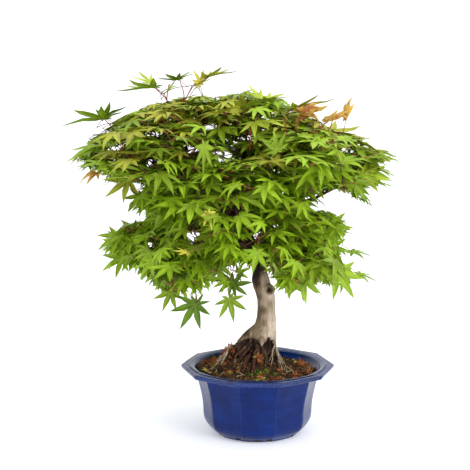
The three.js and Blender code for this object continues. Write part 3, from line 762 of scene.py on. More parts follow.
# A tube along the smooth curve through a limb's points
def limbTube(path, radii, stations, sides, relief=None):
    run = smoothCurve(path, stations)
    return tubes(run[None], spreadRadii(path, radii, stations)[None], sides, relief)


def together(parts):  # several (points, faces) as one
    points, faces, shift = [], [], 0
    for p, blocks in parts:
        points.append(p)
        faces += [block + shift for block in blocks]
        shift += len(p)
    return np.concatenate(points), faces


# Trunk, stub and surface roots are fused to one skin of even faces, which is smoothed and then relieved
def buildTrunk():
    parts = [limbTube(trunk["path"], trunk["radii"], 130, 48, trunkRelief),
             limbTube(trunk["stubPath"], trunk["stubRadii"], 20, 20)]
    stations, wobble = 40, 2.2
    for turn, reach, radius, sag in roots:
        path, radii = rootPath(turn, reach, radius, sag)
        run = smoothCurve(path, stations)
        run = run + shifts(run, 14, 60) * wobble * np.linspace(0, 1, stations)[:, None]
        parts.append(tubes(run[None], spreadRadii(path, radii, stations)[None], 14))
    points, faces = together(parts)
    piece = addPiece("trunk_bark", points, faces, barkMaterial(), ["trunk"])
    fuse = piece.modifiers.new("fuse", "REMESH")
    fuse.mode = "VOXEL"
    fuse.voxel_size = trunk["voxel"] * mm
    fuse.use_smooth_shade = True
    calm = piece.modifiers.new("calm", "SMOOTH")
    calm.iterations = trunk["calmSteps"]
    calm.factor = 0.5
    mesh = bpy.data.meshes.new_from_object(piece.evaluated_get(bpy.context.evaluated_depsgraph_get()))
    piece.modifiers.clear()
    piece.data = mesh
    relieveTrunk(mesh)
    print("trunk fused", len(mesh.polygons), "faces")


# Bark relief and tone. Depths are in millimetres, and tone runs from bare grey wood (0) to dark bark (1).
# Tone also carries painted shade on the trunk's left side, in the foot's fissures and under the flare.
bark = {
    "footHeights": (112, 160), "lumps": 0.28, "fissures": 0.2, "footFissures": 0.9, "grain": 0.12,
    "footRibs": 2.4, "scar": (17.5, -15, 210.5), "scarDepth": 3.4, "lip": 0.9, "lipRadius": 7,
    "underEdge": 1.3, "underDepth": 2.8, "underRidges": 3.4, "rings": 0.5,
    # left and its heights give the painted shade on the trunk's left side and where it sets in
    "bare": 0.17, "upper": 0.62, "darkHeight": 240, "left": 0.4, "leftShadeHeights": (118, 150), "mottle": 0.22,
    # where the trunk's middle lies at some heights
    "middleHeights": (92, 128, 176, 236), "middle": (3, 6, 12, 3),
}


# Points move along their normals by fissures that run up the trunk and by small lumps. A hollow with a lip
# is pressed into the cut end of the stub, and the wood under the flare's edge is sunk between ridges. It is
# dark above the bend, in the hollow, and on its left from a little below the bend. Painted shade darkens its
# left side lower down and the foot's fissures; under the flare the dark is partly the roots' own colour and
# partly painted shadow, deepest between the ridges.
def relieveTrunk(mesh):
    b = bark
    count = len(mesh.vertices)
    co, normal = np.empty(count * 3), np.empty(count * 3)
    mesh.vertices.foreach_get("co", co)
    mesh.vertex_normals.foreach_get("vector", normal)
    p, n = co.reshape(-1, 3) / mm, normal.reshape(-1, 3)
    stretched = p * [1, 1, 0.22]
    fissures = lumps(stretched, 3.2, 21)
    foot = 1 - ease(*b["footHeights"], p[:, 2])
    relief = b["lumps"] * lumps(p, 6, 22) + (b["fissures"] + b["footFissures"] * foot) * np.abs(fissures)
    relief += b["grain"] * lumps(p, 2.2, 23)
    scar = np.linalg.norm((p - b["scar"]) * [1, 1, 0.9], axis=1)
    relief -= b["scarDepth"] * bell(scar, 4.2)
    relief += b["lip"] * bell(scar - b["lipRadius"], 1.8)
    overEdge = p[:, 2] - np.interp(p[:, 0], flareX, flareZ) - 1.5 * lumps(p, 4, 27)
    under = ease(b["underEdge"], -b["underEdge"], overEdge)
    relief += b["footRibs"] * foot * lumps(stretched, 6.5, 30)
    ridges = lumps(p * [1, 1, 0.3], 3.6, 28)
    relief -= under * (b["underDepth"] + b["underRidges"] * ridges)
    rings = b["rings"] * bell(p[:, 2] - trunk["darkFrom"], 4) * np.sin(p[:, 2] * 2.4)
    p = p + n * (relief + rings)[:, None]
    mesh.vertices.foreach_set("co", (p * mm).ravel())
    height = p[:, 2]
    upper = ease(trunk["darkFrom"], b["darkHeight"], height)
    # Painted shade: the trunk's left side is darker, from low on the trunk up to the bend
    fromMiddle = p[:, 0] - np.interp(height, b["middleHeights"], b["middle"])
    left = b["left"] * ease(8, -14, fromMiddle) * ease(*b["leftShadeHeights"], height)
    tone = b["bare"] + b["upper"] * upper + left * (1 - upper) + b["mottle"] * lumps(p, 9, 24)
    tone += (0.08 + 0.2 * upper) * lumps(stretched, 3, 25)
    tone += 0.3 * np.clip(lumps(p, 2.6, 26) - 0.4, 0, 1) + 1.1 * bell(scar, 4.4)
    tone += 0.25 * ease(206, trunk["darkFrom"], height) * (p[:, 0] < 4)
    # Painted shade in the grooves of the foot's fissures
    tone += np.clip(0.35 - np.abs(fissures), 0, 1) * foot
    # Under the flare: the roots' own dark colour with painted shadow, darkest where the wood sinks deepest
    tone = mix(np.clip(tone, 0, 1), 0.86 + 0.34 * ridges + 0.12 * lumps(p, 5, 29), under)
    layer = mesh.attributes.new("tone", "FLOAT", "POINT")
    layer.data.foreach_set("value", np.clip(tone, 0, 1).astype(np.float32))
    mesh.update()


# Bark: smooth grey-beige below, dark grey-brown above, by the piece's own tone, with fine streaks. The
# tone's dark end also gives the painted shade on the left, in the foot's fissures and under the flare
def barkMaterial():
    material, shader = newMaterial("maple bark", sRGB(186, 168, 144), 0.82, 0.25)
    tone = attributeNode(material, "tone")
    # the darkest stops are dark bark and roots, and also painted shade
    stops = [(0.0, sRGB(238, 223, 210)), (0.22, sRGB(202, 181, 160)), (0.5, sRGB(136, 118, 92)),
             (0.8, sRGB(76, 54, 42)), (1.0, sRGB(36, 22, 17))]
    body = rampNode(material, tone, stops)
    streaks = noiseNode(material, 260, 4, (1, 1, 0.18))
    shade = rampNode(material, streaks, [(0.3, sRGB(190, 182, 172)), (0.7, sRGB(255, 255, 255))])
    join(material, blendNode(material, 0.8, body, shade, "MULTIPLY"), shader.inputs["Base Color"])
    bumpNode(material, shader, noiseNode(material, 900, 4, (1, 1, 0.3)), 0.0004, 0.6)
    return material


# A thin root's run: a bowed line that sways sideways, and less upwards, by noise that fades in
def wanderingRoot(start, end, seed, wander, bow):
    run = arc(start, end, thinStations, bow)
    way = unit(np.subtract(end, start) * [1, 1, 0])
    side = np.array([-way[1], way[0], 0])
    fade = np.minimum(np.linspace(0, 3, thinStations), 1)[:, None]
    sway = np.stack([lumps(run, 12, 200 + seed), lumps(run, 6, 300 + seed)], -1) * fade
    return run + side * sway[:, :1] * wander + np.array([0, 0, 1]) * sway[:, 1:] * wander * 0.4


# Dark roots leave the trunk's foot at drawn turns and pale ones start round two places, and all end on the
# soil. They are thinner at their ends.
def buildRoots():
    random = np.random.default_rng(77)
    runs, radii = [], []
    for n in range(darkRoots["count"]):
        turns, starts = darkRoots["front" if n % 4 else "behind"]
        turn = math.radians(random.uniform(*turns))
        out = np.array([math.cos(turn), math.sin(turn)])
        share = 1 if math.cos(turn) < 0.3 else darkRoots["rightShare"]
        end = trunkFoot + out * random.uniform(*darkRoots["reach"]) * share
        start = trunkFoot + out * random.uniform(*starts)
        start = np.array([*start, random.uniform(*darkRoots["height"])])
        finish = np.array([*end, soilHeight(*end) - 2])
        runs.append(wanderingRoot(start, finish, n, darkRoots["wander"], random.uniform(*darkRoots["bow"])))
        radii.append(random.uniform(*darkRoots["radius"]) * np.linspace(1, 0.5, thinStations))
    points, faces = tubes(runs, radii, 8)
    dark = plainMaterial("dark roots", sRGB(44, 27, 20), sRGB(104, 68, 50))
    addPiece("roots_dark", points, faces, dark)
    runs, radii = [], []
    for start, end in zip(paleRoots["from"], paleRoots["to"]):
        for n in range(paleRoots["each"]):
            first = start + random.normal(0, 1, 3) * paleRoots["fromSpread"]
            last = end + random.normal(0, 1, 3) * paleRoots["toSpread"]
            last[2] = soilHeight(last[0], last[1]) + random.uniform(-1, 1)
            bow = random.uniform(*paleRoots["bow"])
            runs.append(wanderingRoot(first, last, 40 + len(runs), paleRoots["wander"], bow))
            thick = random.uniform(*paleRoots["radius"]) + (0 if n else paleRoots["firstThicker"])
            radii.append(thick * np.linspace(1, 0.4, thinStations))
    points, faces = tubes(runs, radii, 7)
    pale = plainMaterial("pale roots", sRGB(142, 122, 98), sRGB(204, 188, 162))
    addPiece("roots_pale", points, faces, pale)


# The crown's masses, as in the solids: middle, half sizes, parent limb, place along it, bough radius
masses = {
    "top_middle": ([-22, -2, 448], [64, 76, 44], None, 0, 0),
    "top_left": ([-112, 0, 464], [64, 76, 44], "trunk", 0.75, 3.8),
    "top_right": ([76, 0, 430], [66, 76, 40], "trunk", 0.85, 3.4),
    "left_high": ([-196, 0, 402], [62, 76, 48], "trunk", 0.645, 5.4),
    "left_high_front": ([-128, -98, 402], [70, 70, 54], "left_high", 0.4, 3.6),
    "left_high_back": ([-122, 102, 402], [72, 70, 54], "left_high", 0.52, 3.6),
    "right_high": ([138, 0, 386], [52, 78, 42], "trunk", 0.55, 5.2),
    "right_high_front": ([62, -104, 378], [72, 72, 54], "right_high", 0.42, 3.6),
    "right_high_back": ([74, 106, 380], [74, 70, 54], "right_high", 0.54, 3.6),
    "middle_front": ([-42, -122, 340], [68, 64, 58], "trunk", 0.7, 4),
    "middle_back": ([-28, 132, 350], [74, 64, 62], "trunk", 0.67, 4),
    "left_low": ([-158, -12, 270], [56, 76, 38], "trunk", 0.485, 4.6),
    "left_low_front": ([-92, -88, 258], [66, 66, 58], "left_low", 0.36, 3.4),
    "right_low": ([92, -2, 262], [50, 78, 46], "trunk", 0.45, 4.6),
    "right_low_front": ([38, -92, 278], [64, 66, 58], "right_low", 0.4, 3.4),
    "back_low_left": ([-86, 98, 268], [74, 72, 56], "trunk", 0.52, 4.2),
    "back_low_right": ([48, 102, 270], [74, 72, 56], "trunk", 0.475, 4.2),
}
bough = {
    "bow": 0.1, "taper": 0.6, "tipRadius": 2.4, "inset": 0.6, "collar": 0.5, "knots": 0.12, "wobble": 1.6,
    "stations": 60, "sides": 14,
}
crown = {
    "heart": np.array([-25.0, 0, 300]), "reach": np.array([225.0, 180, 190]), "hollow": 0.36,
    "darts": 2800, "spacing": 22, "edge": 1, "taller": 1.22, "heightWeight": 1.25, "seed": 101,
    "seedStep": 37, "headingSpread": 210,
    # leaves change from one height to another, by a power of the share of the way between them
    "low": 222, "high": 480, "liftPower": 0.42,
    # at the low and at the high end: droop of the middle lobe and how much it varies, how far the face
    # looks outward, and how much its way varies
    "droop": (0.9, -0.05), "droopSpread": (0.9, 0.7), "outward": (0.8, 0.05), "faceSpread": (1.3, 0.7),
}

# The crown's outline, picked in the photo, in its pixels: along the hem to the left, up the left
# side, over the roof to the right, and down the right side
crownOutline = np.array([
    (252, 266), (240, 268), (234, 284), (212, 286), (206, 298), (190, 288), (172, 304), (170, 293),
    (158, 300), (150, 286), (139, 281), (132, 271), (118, 268), (101, 270), (112, 257), (97, 251),
    (104, 239), (122, 223), (148, 219), (136, 211), (124, 209), (131, 199), (126, 194), (148, 187),
    (118, 180), (99, 185), (102, 172), (74, 169), (84, 160), (65, 163), (82, 145), (88, 138),
    (98, 131), (116, 117), (146, 105), (166, 99), (192, 95), (222, 94), (250, 90), (270, 93),
    (290, 102), (316, 119), (330, 128), (372, 139), (370, 145), (403, 158), (380, 163), (400, 175),
    (372, 178), (398, 184), (364, 188), (378, 207), (346, 194), (334, 188), (322, 196), (330, 204),
    (300, 205), (326, 212), (350, 218), (343, 225), (356, 229), (344, 238), (338, 248), (374, 254),
    (342, 256), (346, 268), (379, 279), (350, 278), (354, 296), (340, 287), (322, 284), (310, 284),
    (303, 302), (299, 290), (288, 298), (276, 283), (266, 274), (264, 262),
], float)

# Small windows of sky through it, each a place and a radius
windows = np.array([
    (153, 134, 4), (118, 147, 4), (150, 162, 5), (188, 148, 4), (209, 126, 4), (226, 154, 4), (193, 236, 6),
    (151, 246, 4), (161, 221, 3), (230, 270, 4), (250, 138, 4), (259, 235, 4), (275, 228, 4), (345, 150, 4),
    (361, 168, 4),
], float)

# Dark gaps, where trunk and boughs show and leaves grow only behind them
gaps = np.array([(232, 211, 6), (247, 244, 6), (190, 150, 5), (228, 262, 3)], float)


# A point lies inside when a level line from it crosses the outline an odd number of times
def insideOutline(seen):
    x, y = seen[..., :1], seen[..., 1:]
    (ax, ay), (bx, by) = crownOutline.T, np.roll(crownOutline, -1, axis=0).T
    crosses = (ay > y) != (by > y)
    at = ax + (y - ay) * (bx - ax) / np.where(by == ay, 1, by - ay)
    return np.sum(crosses & (x < at), axis=-1) % 2 == 1


# The run of each limb by its name, and the masses' names, middles and mean sizes
limbs = {"trunk": smoothCurve(trunk["path"], 200)}
names = list(masses)
centres = np.array([masses[name][0] for name in names], float)
widths = np.array([np.mean(masses[name][1]) for name in names])


def along(run, share):  # the place at a share of a limb's length
    spot = share * (len(run) - 1)
    i = min(int(spot), len(run) - 2)
    return mix(run[i], run[i + 1], spot - i)


# Each bough bows up from its place on its parent and ends inside its mass. It is thicker at its foot, and
# noise makes it knotty and lets it stray between its ends.
def buildBoughs():
    parts = []
    count = bough["stations"]
    for name, (at, _, parent, share, radius) in masses.items():
        if parent is None:
            continue
        root = along(limbs[parent], share)
        way = np.array(at, float) - root
        tip = root + bough["inset"] * way
        middle = mix(root, tip, 0.5) + [0, 0, bough["bow"] * np.linalg.norm(way)]
        run = smoothCurve([root, middle, tip], count)
        limbs[name] = run
        fade = np.sin(np.linspace(0, math.pi, count))[:, None]
        taper = [radius, mix(radius, bough["tipRadius"], bough["taper"]), bough["tipRadius"]]
        collar = 1 + bough["collar"] * np.exp(-np.arange(count) / 5)
        knots = 1 + bough["knots"] * lumps(run, 9, 95)
        radii = spreadRadii([root, middle, tip], taper, count) * collar * knots
        parts.append(tubes((run + shifts(run, 17, 90) * bough["wobble"] * fade)[None], radii[None],
                           bough["sides"], lambda points, turn: 1 + 0.05 * lumps(points, 3, 96)))
    points, faces = together(parts)
    material = plainMaterial("bough bark", sRGB(62, 48, 38), sRGB(112, 92, 74), 0.85)
    addPiece("boughs", points, faces, material, boughNodes)


# How far points lie inside the planes between a mass and all the others. A plane lies where the squares of
# the distances to both middles differ as the squares of both mean sizes do.
def insidePlanes(index, points):
    weight = np.array([1, 1, crown["heightWeight"]])
    here = centres[index] * weight
    between = np.delete(centres, index, 0) * weight - here
    distance = np.linalg.norm(between, axis=1)
    share = (distance ** 2 + widths[index] ** 2 - np.delete(widths, index) ** 2) / (2 * distance)
    inward = (np.asarray(points) * weight - here) @ between.T / distance
    return np.min(share - inward, axis=-1)


# Places for sprays: darts in the mass's ellipsoid that keep their distance, nearest to its stem first
def spreadPlaces(index, random, taken, start):
    size = np.array(masses[names[index]][1], float) * [1, 1, crown["taller"]]
    found = []
    for _ in range(crown["darts"]):
        offset = np.array([2 * random() - 1, 2 * random() - 1, 2 * random() - 1])
        if np.linalg.norm(offset) > 1:
            continue
        p = centres[index] + offset * size
        if np.linalg.norm((p - crown["heart"]) / crown["reach"]) < crown["hollow"]:
            continue
        if taken and np.min(np.linalg.norm(np.array(taken) - p, axis=1)) < crown["spacing"]:
            continue
        if insidePlanes(index, p[None])[0] < crown["edge"]:
            continue
        taken.append(p)
        found.append(p)
    return sorted(found, key=lambda p: np.linalg.norm(p - start))


# The way a leaf's middle lobe points, the way its face looks, and the side to its left
def leafPose(place, heading, random):
    outward = unit((place - crown["heart"]) * [1, 1, 0])
    lift = np.clip((place[2] - crown["low"]) / (crown["high"] - crown["low"]), 0, 1) ** crown["liftPower"]
    lobe = unit(heading * [1, 1, 0])
    droop = mix(*crown["droop"], lift) + mix(*crown["droopSpread"], lift) * (random() - 0.45)
    lobe = unit(lobe - [0, 0, droop])
    face = np.array([0, 0, 1.0]) + mix(*crown["outward"], lift) * outward
    face += np.array([random() - 0.5, random() - 0.5, random() - 0.5]) * mix(*crown["faceSpread"], lift)
    face = unit(face - lobe * dot(face, lobe))
    return lobe, face, np.cross(face, lobe)


# Leaf outline: pointed lobes fan out from the stalk. Each half lobe runs from its midrib to an edge that
# follows the line to the notch, then swells and draws out to a long point: with u the share of the way from
# the notch to the tip, its width is that of the notch times (1 + swell u) (1 - u)^point.
leaf = {
    "turns": (0, 43, 86, 130), "reaches": (1, 0.9, 0.66, 0.32), "notch": 0.295, "backTurn": 162,
    "backNotch": 0.1, "ribs": (0.27, 0.46, 0.72), "swell": 4.9, "point": 1.9, "teeth": 0.08,
}


# A leaf of unit length, flat: x along the middle lobe, y to its left, distance from the midrib, and
# the share of the way from the midrib (0) to the edge (1)
def leafLayer():
    turns = [math.radians(t) for t in (*[-t for t in leaf["turns"][:0:-1]], *leaf["turns"])]
    reaches = (*leaf["reaches"][:0:-1], *leaf["reaches"])
    ribs = np.array([0, *leaf["ribs"], 1.0])
    points, quads, triangles = [], [], []
    for k, (turn, reach) in enumerate(zip(turns, reaches)):
        for side in (-1, 1):
            other = k + side
            if 0 <= other < len(turns):
                limit = (turns[other] + turn) / 2
                notch = leaf["notch"] * (0.5 * (reaches[other] + reach)) ** 0.8
            else:
                limit, notch = side * math.radians(leaf["backTurn"]), leaf["backNotch"]
            spread = abs(limit - turn)
            notchAlong, notchOut = notch * math.cos(spread), notch * math.sin(spread)
            u = np.clip((ribs * reach - notchAlong) / (reach - notchAlong), 0, 1)
            inner = np.clip(ribs * reach / max(notchAlong, 0.02), 0, 1)
            tooth = 1 + leaf["teeth"] * np.where(np.arange(len(ribs)) % 2, 1, -1)
            outer = notchOut * (1 - u) ** leaf["point"] * (1 + leaf["swell"] * u) * tooth
            edgeAlong = np.where(u > 0, ribs * reach, inner * notchAlong)
            edgeOut = np.where(u > 0, outer, inner * notchOut)
            c, s = math.cos(turn), math.sin(turn)
            first = len(points)
            for t in range(len(ribs) - 1):
                points.append((ribs[t] * reach * c, ribs[t] * reach * s, 0, 0))
                if t:
                    x, w = edgeAlong[t], side * edgeOut[t]
                    points.append((x * c - w * s, x * s + w * c, edgeOut[t], 1))
            points.append((reach * c, reach * s, 0, 0.4))
            flip = side > 0
            triangles.append((first, first + 1, first + 2) if flip else (first, first + 2, first + 1))
            for t in range(1, len(ribs) - 2):
                rib = first + 2 * t - 1
                quad = (rib, rib + 2, rib + 3, rib + 1)
                quads.append(quad if flip else quad[::-1])
            rib = len(points) - 3
            triangles.append((rib, rib + 2, rib + 1) if flip else (rib, rib + 1, rib + 2))
    return np.array(points), np.array(quads), np.array(triangles)


# Leaves bent to life: the flat shape sways sideways, folds up from its midribs, cups along its length, and
# droops and curls towards its tips, as powers of the distance from the stalk
def bendLeaves(flat, bends):
    x, y = flat[:, 0], flat[:, 1]
    r = np.hypot(x, y)
    droop, curl, fold, sway, ripple, phase, cup = [bends[:, k][:, None] for k in range(7)]
    z = fold * flat[:, 2] - droop * r ** 2 - curl * r ** 4 + cup * y[None, :] ** 2
    z = z + ripple * r * np.sin(phase + 7 * x[None, :] + 5 * y[None, :] * np.cos(phase))
    bent = y[None, :] + sway * x[None, :] ** 2 * np.sign(x[None, :])
    inward = 1 - 0.35 * (np.abs(droop) * r) ** 2
    return np.stack([x[None, :] * inward, bent * inward, z], -1)


# Bent leaves carried to their bases, along their lobes, sides and faces
def placeLeaves(bent, leaves):
    base, lobe, face, side, length = leaves
    shape = bent * length[:, None, None]
    return (base[:, None] + shape[..., :1] * lobe[:, None] + shape[..., 1:2] * side[:, None]
            + shape[..., 2:3] * face[:, None]).reshape(-1, 3)


# Tints that leaves are dealt: blade, midrib, and patches where they have a colour of their own
tints = {
    # shade: a darker copy of the leaf colour, painted shade for leaves in the crown's shade
    "shade": (sRGB(80, 110, 10), sRGB(104, 128, 36)),
    "deep": (sRGB(114, 140, 17), sRGB(148, 166, 58)),
    "middle": (sRGB(132, 165, 18), sRGB(164, 188, 70)),
    "fresh": (sRGB(136, 168, 25), sRGB(172, 192, 76)),
    "lime": (sRGB(154, 172, 38), sRGB(184, 194, 88)),
    "olive": (sRGB(152, 156, 38), sRGB(182, 174, 80)),
    "yellow": (sRGB(194, 184, 66), sRGB(212, 200, 108)),
    "rust": (sRGB(210, 176, 90), sRGB(210, 190, 96), sRGB(178, 112, 58)),
}


# Leaf: its tint varies slowly from place to place, and runs to a paler midrib by the piece's own rib share
def leafMaterial(name, colour, rib, patches=None):
    material, shader = newMaterial(name, colour, 0.5, 0.3)
    deeper = patches or tuple(0.8 * c for c in colour)
    lighter = tuple(min(1.25 * c, 1) for c in colour)
    shade = rampNode(material, noiseNode(material, 55, 3), [(0.35, deeper), (0.5, colour), (0.68, lighter)])
    pale = rampNode(material, attributeNode(material, "ribShare"), [(0.0, (1, 1, 1)), (0.16, (0, 0, 0))])
    join(material, blendNode(material, pale, shade, rib), shader.inputs["Base Color"])
    bumpNode(material, shader, noiseNode(material, 1400, 2), 0.0002, 0.4)
    return material


# All leaves of one tint are one piece
def buildLeaves(grown):
    flat, quads, triangles = leafLayer()
    for tint, colours in tints.items():
        chosen = [g for g in grown if g["tint"] == tint]
        if not chosen:
            continue
        keys = ("base", "lobe", "face", "side", "length")
        leaves = [np.array([g[key] for g in chosen], float) for key in keys]
        bends = np.array([g["bend"] for g in chosen], float)
        points = placeLeaves(bendLeaves(flat, bends), leaves)
        faces = [repeated(block, len(chosen), len(flat)) for block in (quads, triangles)]
        addPiece("leaves_" + tint, points, faces, leafMaterial("leaf " + tint, *colours),
                 foliageNodes, attributes={"ribShare": np.tile(flat[:, 3], len(chosen))})


# How the crown grows: each spray is a twig with two leaves that fan out, and at times one at its end
spray = {
    "leafLength": (27, 43), "sizes": (0.85, 1.05), "stalk": (12, 24), "fan": (50, 95), "stray": 20,
    "endLeaf": 0.6, "shortest": 9, "longest": 85, "forks": (0.3, 0.55, 0.8), "stemNodes": 10,
    "joint": 12, "twigBow": 0.1, "twigWobble": 2, "twigStations": 8,
    # smaller sizes and other headings that are tried where a leaf would reach past the outline
    "smaller": (1, 0.86, 0.74), "turns": (0, 30, -30, 60, -60),
    # droop, curl, fold, sway, ripple, phase and cup
    "bend": ((0.05, 0.27), (0, 0.06), (0.2, 0.6), (-0.15, 0.15), (0, 0.06), (0, 6.28), (-0.24, 0.36)),
}


# Points of a leaf that are tried against the outline: its base, and places along its five long lobes
def leafProbes(base, lobe, side, length, shares=(0.35, 0.68, 1)):
    probes = [base]
    for turn, reach in ((0, 1), (43, 0.92), (-43, 0.92), (86, 0.68), (-86, 0.68)):
        way = math.cos(math.radians(turn)) * lobe + math.sin(math.radians(turn)) * side
        probes += [base + way * reach * length * share for share in shares]
    return np.array(probes)


# A leaf may grow where it stays inside the box and the outline, and clear of the windows and gaps
def allowed(probes):
    if probes[:, 1].min() < cadLow[1] / mm - stray or probes[:, 1].max() > cadHigh[1] / mm + stray:
        return False
    seen = seenInPhoto(probes)
    holes = windows if probes[0, 1] > 0 else np.concatenate([windows, gaps])
    far = np.linalg.norm(seen[:, None] - holes[:, :2], axis=-1) > holes[:, 2]
    return bool(insideOutline(seen).all() and far.all())


# Shares of the tints low and high in the crown, and what parts of the crown get on top of them: on the
# right, at the upper left, in its middle and at its hem, each by a width and a height in the photo
tintShares = {"olive": (0.03, 0.5), "deep": (0.2, 0.36), "middle": (0.45, 0.16), "fresh": (0.28, 0.04),
              "lime": (0.04, 0.04)}
tintHeights = (200, 120)
# The deep tint added in the crown's middle and the shade tint at its hem are painted shade: darker leaf
# colours for leaves that lie in the crown's shade.
tintParts = [("fresh", 0.4, (275, photoSide), (0, photoSide)), ("deep", 0.2, (0, 180), (0, 200)),
             ("deep", 0.25, (185, 265), (150, photoSide)), ("shade", 0.5, (0, 265), (260, photoSide))]


def pickTint(place, random):
    px, py = seenInPhoto(place)
    high = ease(*tintHeights, py)
    shares = {tint: mix(*ends, high) for tint, ends in tintShares.items()}
    for tint, more, (left, right), (top, bottom) in tintParts:
        if left < px < right and top < py < bottom:
            shares[tint] = shares.get(tint, 0) + more
    chance = random() * sum(shares.values())
    for tint, share in shares.items():
        chance -= share
        if chance < 0:
            return tint
    return "middle"


# A leaf on a stalk from a spray's joint, turned or made smaller until it is allowed
def growLeaf(grown, stalks, joint, heading, random, length, tint):
    rise = 0.6 * (0.35 + 0.3 * random())
    stalk = drawn(spray["stalk"], random)
    base = joint + unit(unit(heading * [1, 1, 0]) + [0, 0, rise]) * stalk
    for size in spray["smaller"]:
        for turn in spray["turns"]:
            lobe, face, side = leafPose(base, turned(heading, turn), random)
            if allowed(leafProbes(base, lobe, side, length * size)):
                bend = [drawn(span, random) for span in spray["bend"]]
                grown.append({"base": base, "lobe": lobe, "face": face, "side": side,
                              "length": length * size, "tint": tint, "bend": bend})
                stalks.append((joint, base, lobe))
                return True
    return False


# Leaves that stand clear of the others, picked in the photo, in its pixels: tint, leaf base, tip of
# the middle lobe, depth in millimetres, how far the face turns from the viewer (0) to the sky (1), and the
# width of some of them against a full leaf
clearLeaves = [
    # The shade and deep tints of the hem leaves are painted shade, for the crown's shadow on them
    ("shade", (195, 304), (180, 329), -108, 0.1), ("deep", (229, 299), (236, 322), -104, 0.1),
    ("shade", (233, 285), (253, 281), -96, 0.2), ("deep", (171, 292), (161, 311), -100, 0.2),
    ("shade", (231, 281), (217, 292), -98, 0.2), ("shade", (197, 304), (210, 301), -106, 0.1),
    ("middle", (198, 283), (191, 297), -98, 0.2), ("middle", (238, 273), (251, 267), -90, 0.3),
    ("middle", (226, 281), (212, 287), -100, 0.3),
    ("fresh", (302, 277), (304, 305), -96, 0.1), ("fresh", (337, 272), (355, 298), -80, 0.2),
    ("deep", (104, 119), (60, 124), -20, 1.3), ("deep", (104, 118), (127, 106), -10, 1.35),
    ("fresh", (154, 88), (115, 91), -10, 1.15), ("lime", (152, 84), (131, 76), -6, 0.7),
    ("deep", (178, 80), (154, 79), 8, 1.2), ("deep", (176, 80), (196, 73), 6, 0.85),
    ("middle", (168, 90), (178, 85), -12, 0.6), ("olive", (206, 78), (238, 70), -6, 1.0),
    ("yellow", (200, 84), (194, 69), -16, 0.55), ("yellow", (198, 85), (214, 77), -18, 0.85),
    ("rust", (327, 122), (350, 117), -60, 1.25), ("rust", (347, 118), (355, 98), -62, 1.1, 0.4),
    ("rust", (298, 112), (318, 124), -64, 0.8), ("rust", (302, 119), (330, 110), -60, 0.7, 0.8),
    ("olive", (294, 110), (337, 98), -44, 1.2, 0.6), ("olive", (330, 132), (372, 139), -24, 0.9),
    ("lime", (262, 99), (241, 90), -34, 0.7), ("lime", (266, 99), (291, 98), -34, 0.9),
    ("rust", (98, 174), (77, 177), -52, 0.5, 0.45), ("olive", (128, 180), (106, 198), -66, 0.4),
    ("middle", (94, 146), (65, 163), -30, 0.8), ("fresh", (100, 160), (73, 168), -34, 0.9),
    ("deep", (140, 196), (126, 211), -60, 0.3), ("fresh", (118, 236), (97, 250), -50, 0.5),
    ("middle", (288, 274), (276, 291), -92, 0.2),
    ("yellow", (208, 213), (213, 230), -184, 0.3, 0.7), ("yellow", (187, 253), (172, 250), -172, 0.6, 0.6),
    ("deep", (205, 146), (202, 177), -166, 0.1, 0.45), ("middle", (257, 252), (252, 274), -152, 0.1),
    ("deep", (277, 150), (272, 130), -160, 0.5), ("fresh", (322, 168), (303, 186), -150, 0.2),
    ("lime", (362, 176), (392, 181), -70, 0.5),
]

# Bends are droop, curl, fold, sway, ripple, phase and cup
rim = {
    "step": 7, "length": (24, 36), "depth": (-70, 20), "middle": (232, 190), "start": 30, "seed": 611,
    "across": 0.5, "away": 1.3, "stray": 0.6,
    "bend": ((0.12, 0.32), (0, 0.06), (0.2, 0.5), (-0.1, 0.1), (0, 0.05), (0, 6.28), (-0.15, 0.35)),
    "sharp": 80, "cornerLength": (29, 38), "cornerSeed": 87,
    "cornerBend": ((0.14, 0.24), 0.04, (0.3, 0.5), (-0.05, 0.05), 0.03, (0, 6.28), 0.1),
}

# Red young shoots that stand clear at the top and show among the leaves, picked in the same way, by depth
redShoots = {
    -12: [
        [(168, 118), (168, 106), (166, 99), (155, 88)], [(167, 104), (167, 97), (169, 84)],
        [(179, 110), (184, 96), (180, 81)], [(176, 120), (186, 98), (197, 80)],
        [(177, 112), (187, 96), (192, 86)], [(116, 135), (110, 125), (104, 119)],
        [(150, 130), (165, 126), (176, 136)],
    ],
    -96: [
        [(288, 144), (286, 128), (284, 118)], [(308, 142), (312, 131), (317, 121)],
        [(318, 134), (322, 126), (328, 122)], [(322, 136), (330, 128), (333, 117)],
        [(295, 130), (300, 120), (306, 118)], [(185, 170), (187, 154), (190, 138)],
        [(250, 150), (251, 137), (249, 126)], [(160, 118), (170, 127), (178, 136)],
    ],
}
shootRadii = np.linspace(0.95, 0.6, 14)


def buildShoots():
    runs = [smoothCurve([fromPhoto(*at, depth) for at in shoot], len(shootRadii))
            for depth, shoots in redShoots.items() for shoot in shoots]
    points, faces = tubes(runs, np.tile(shootRadii, (len(runs), 1)), 6)
    red = plainMaterial("red shoots", sRGB(112, 36, 34), sRGB(168, 70, 56), 0.5)
    addPiece("red_shoots", points, faces, red, foliageNodes)


# The way that a leaf's face looks, turned from the viewer (0) to the sky (1)
def skyward(lobe, rise):
    face = mix(np.array([0, -1, 0.15]), np.array([0, 0.05, 1.0]), rise)
    return unit(face - lobe * dot(face, lobe))


# Leaves that are hung have a twig of their own. It comes from the nearest twig end on their side of the
# trunk and meets the stalk a little behind the leaf, above it at the hem and under it at the top.
# A twig end that lies more than a little lower counts as farther.
hung = {
    "stalk": 13, "back": 5, "over": (8, -9), "trunkX": 9, "lower": 5, "climb": 1.5, "bow": 0.08, "load": 1.5,
    "longer": 1.03, "highFrom": 430,
}


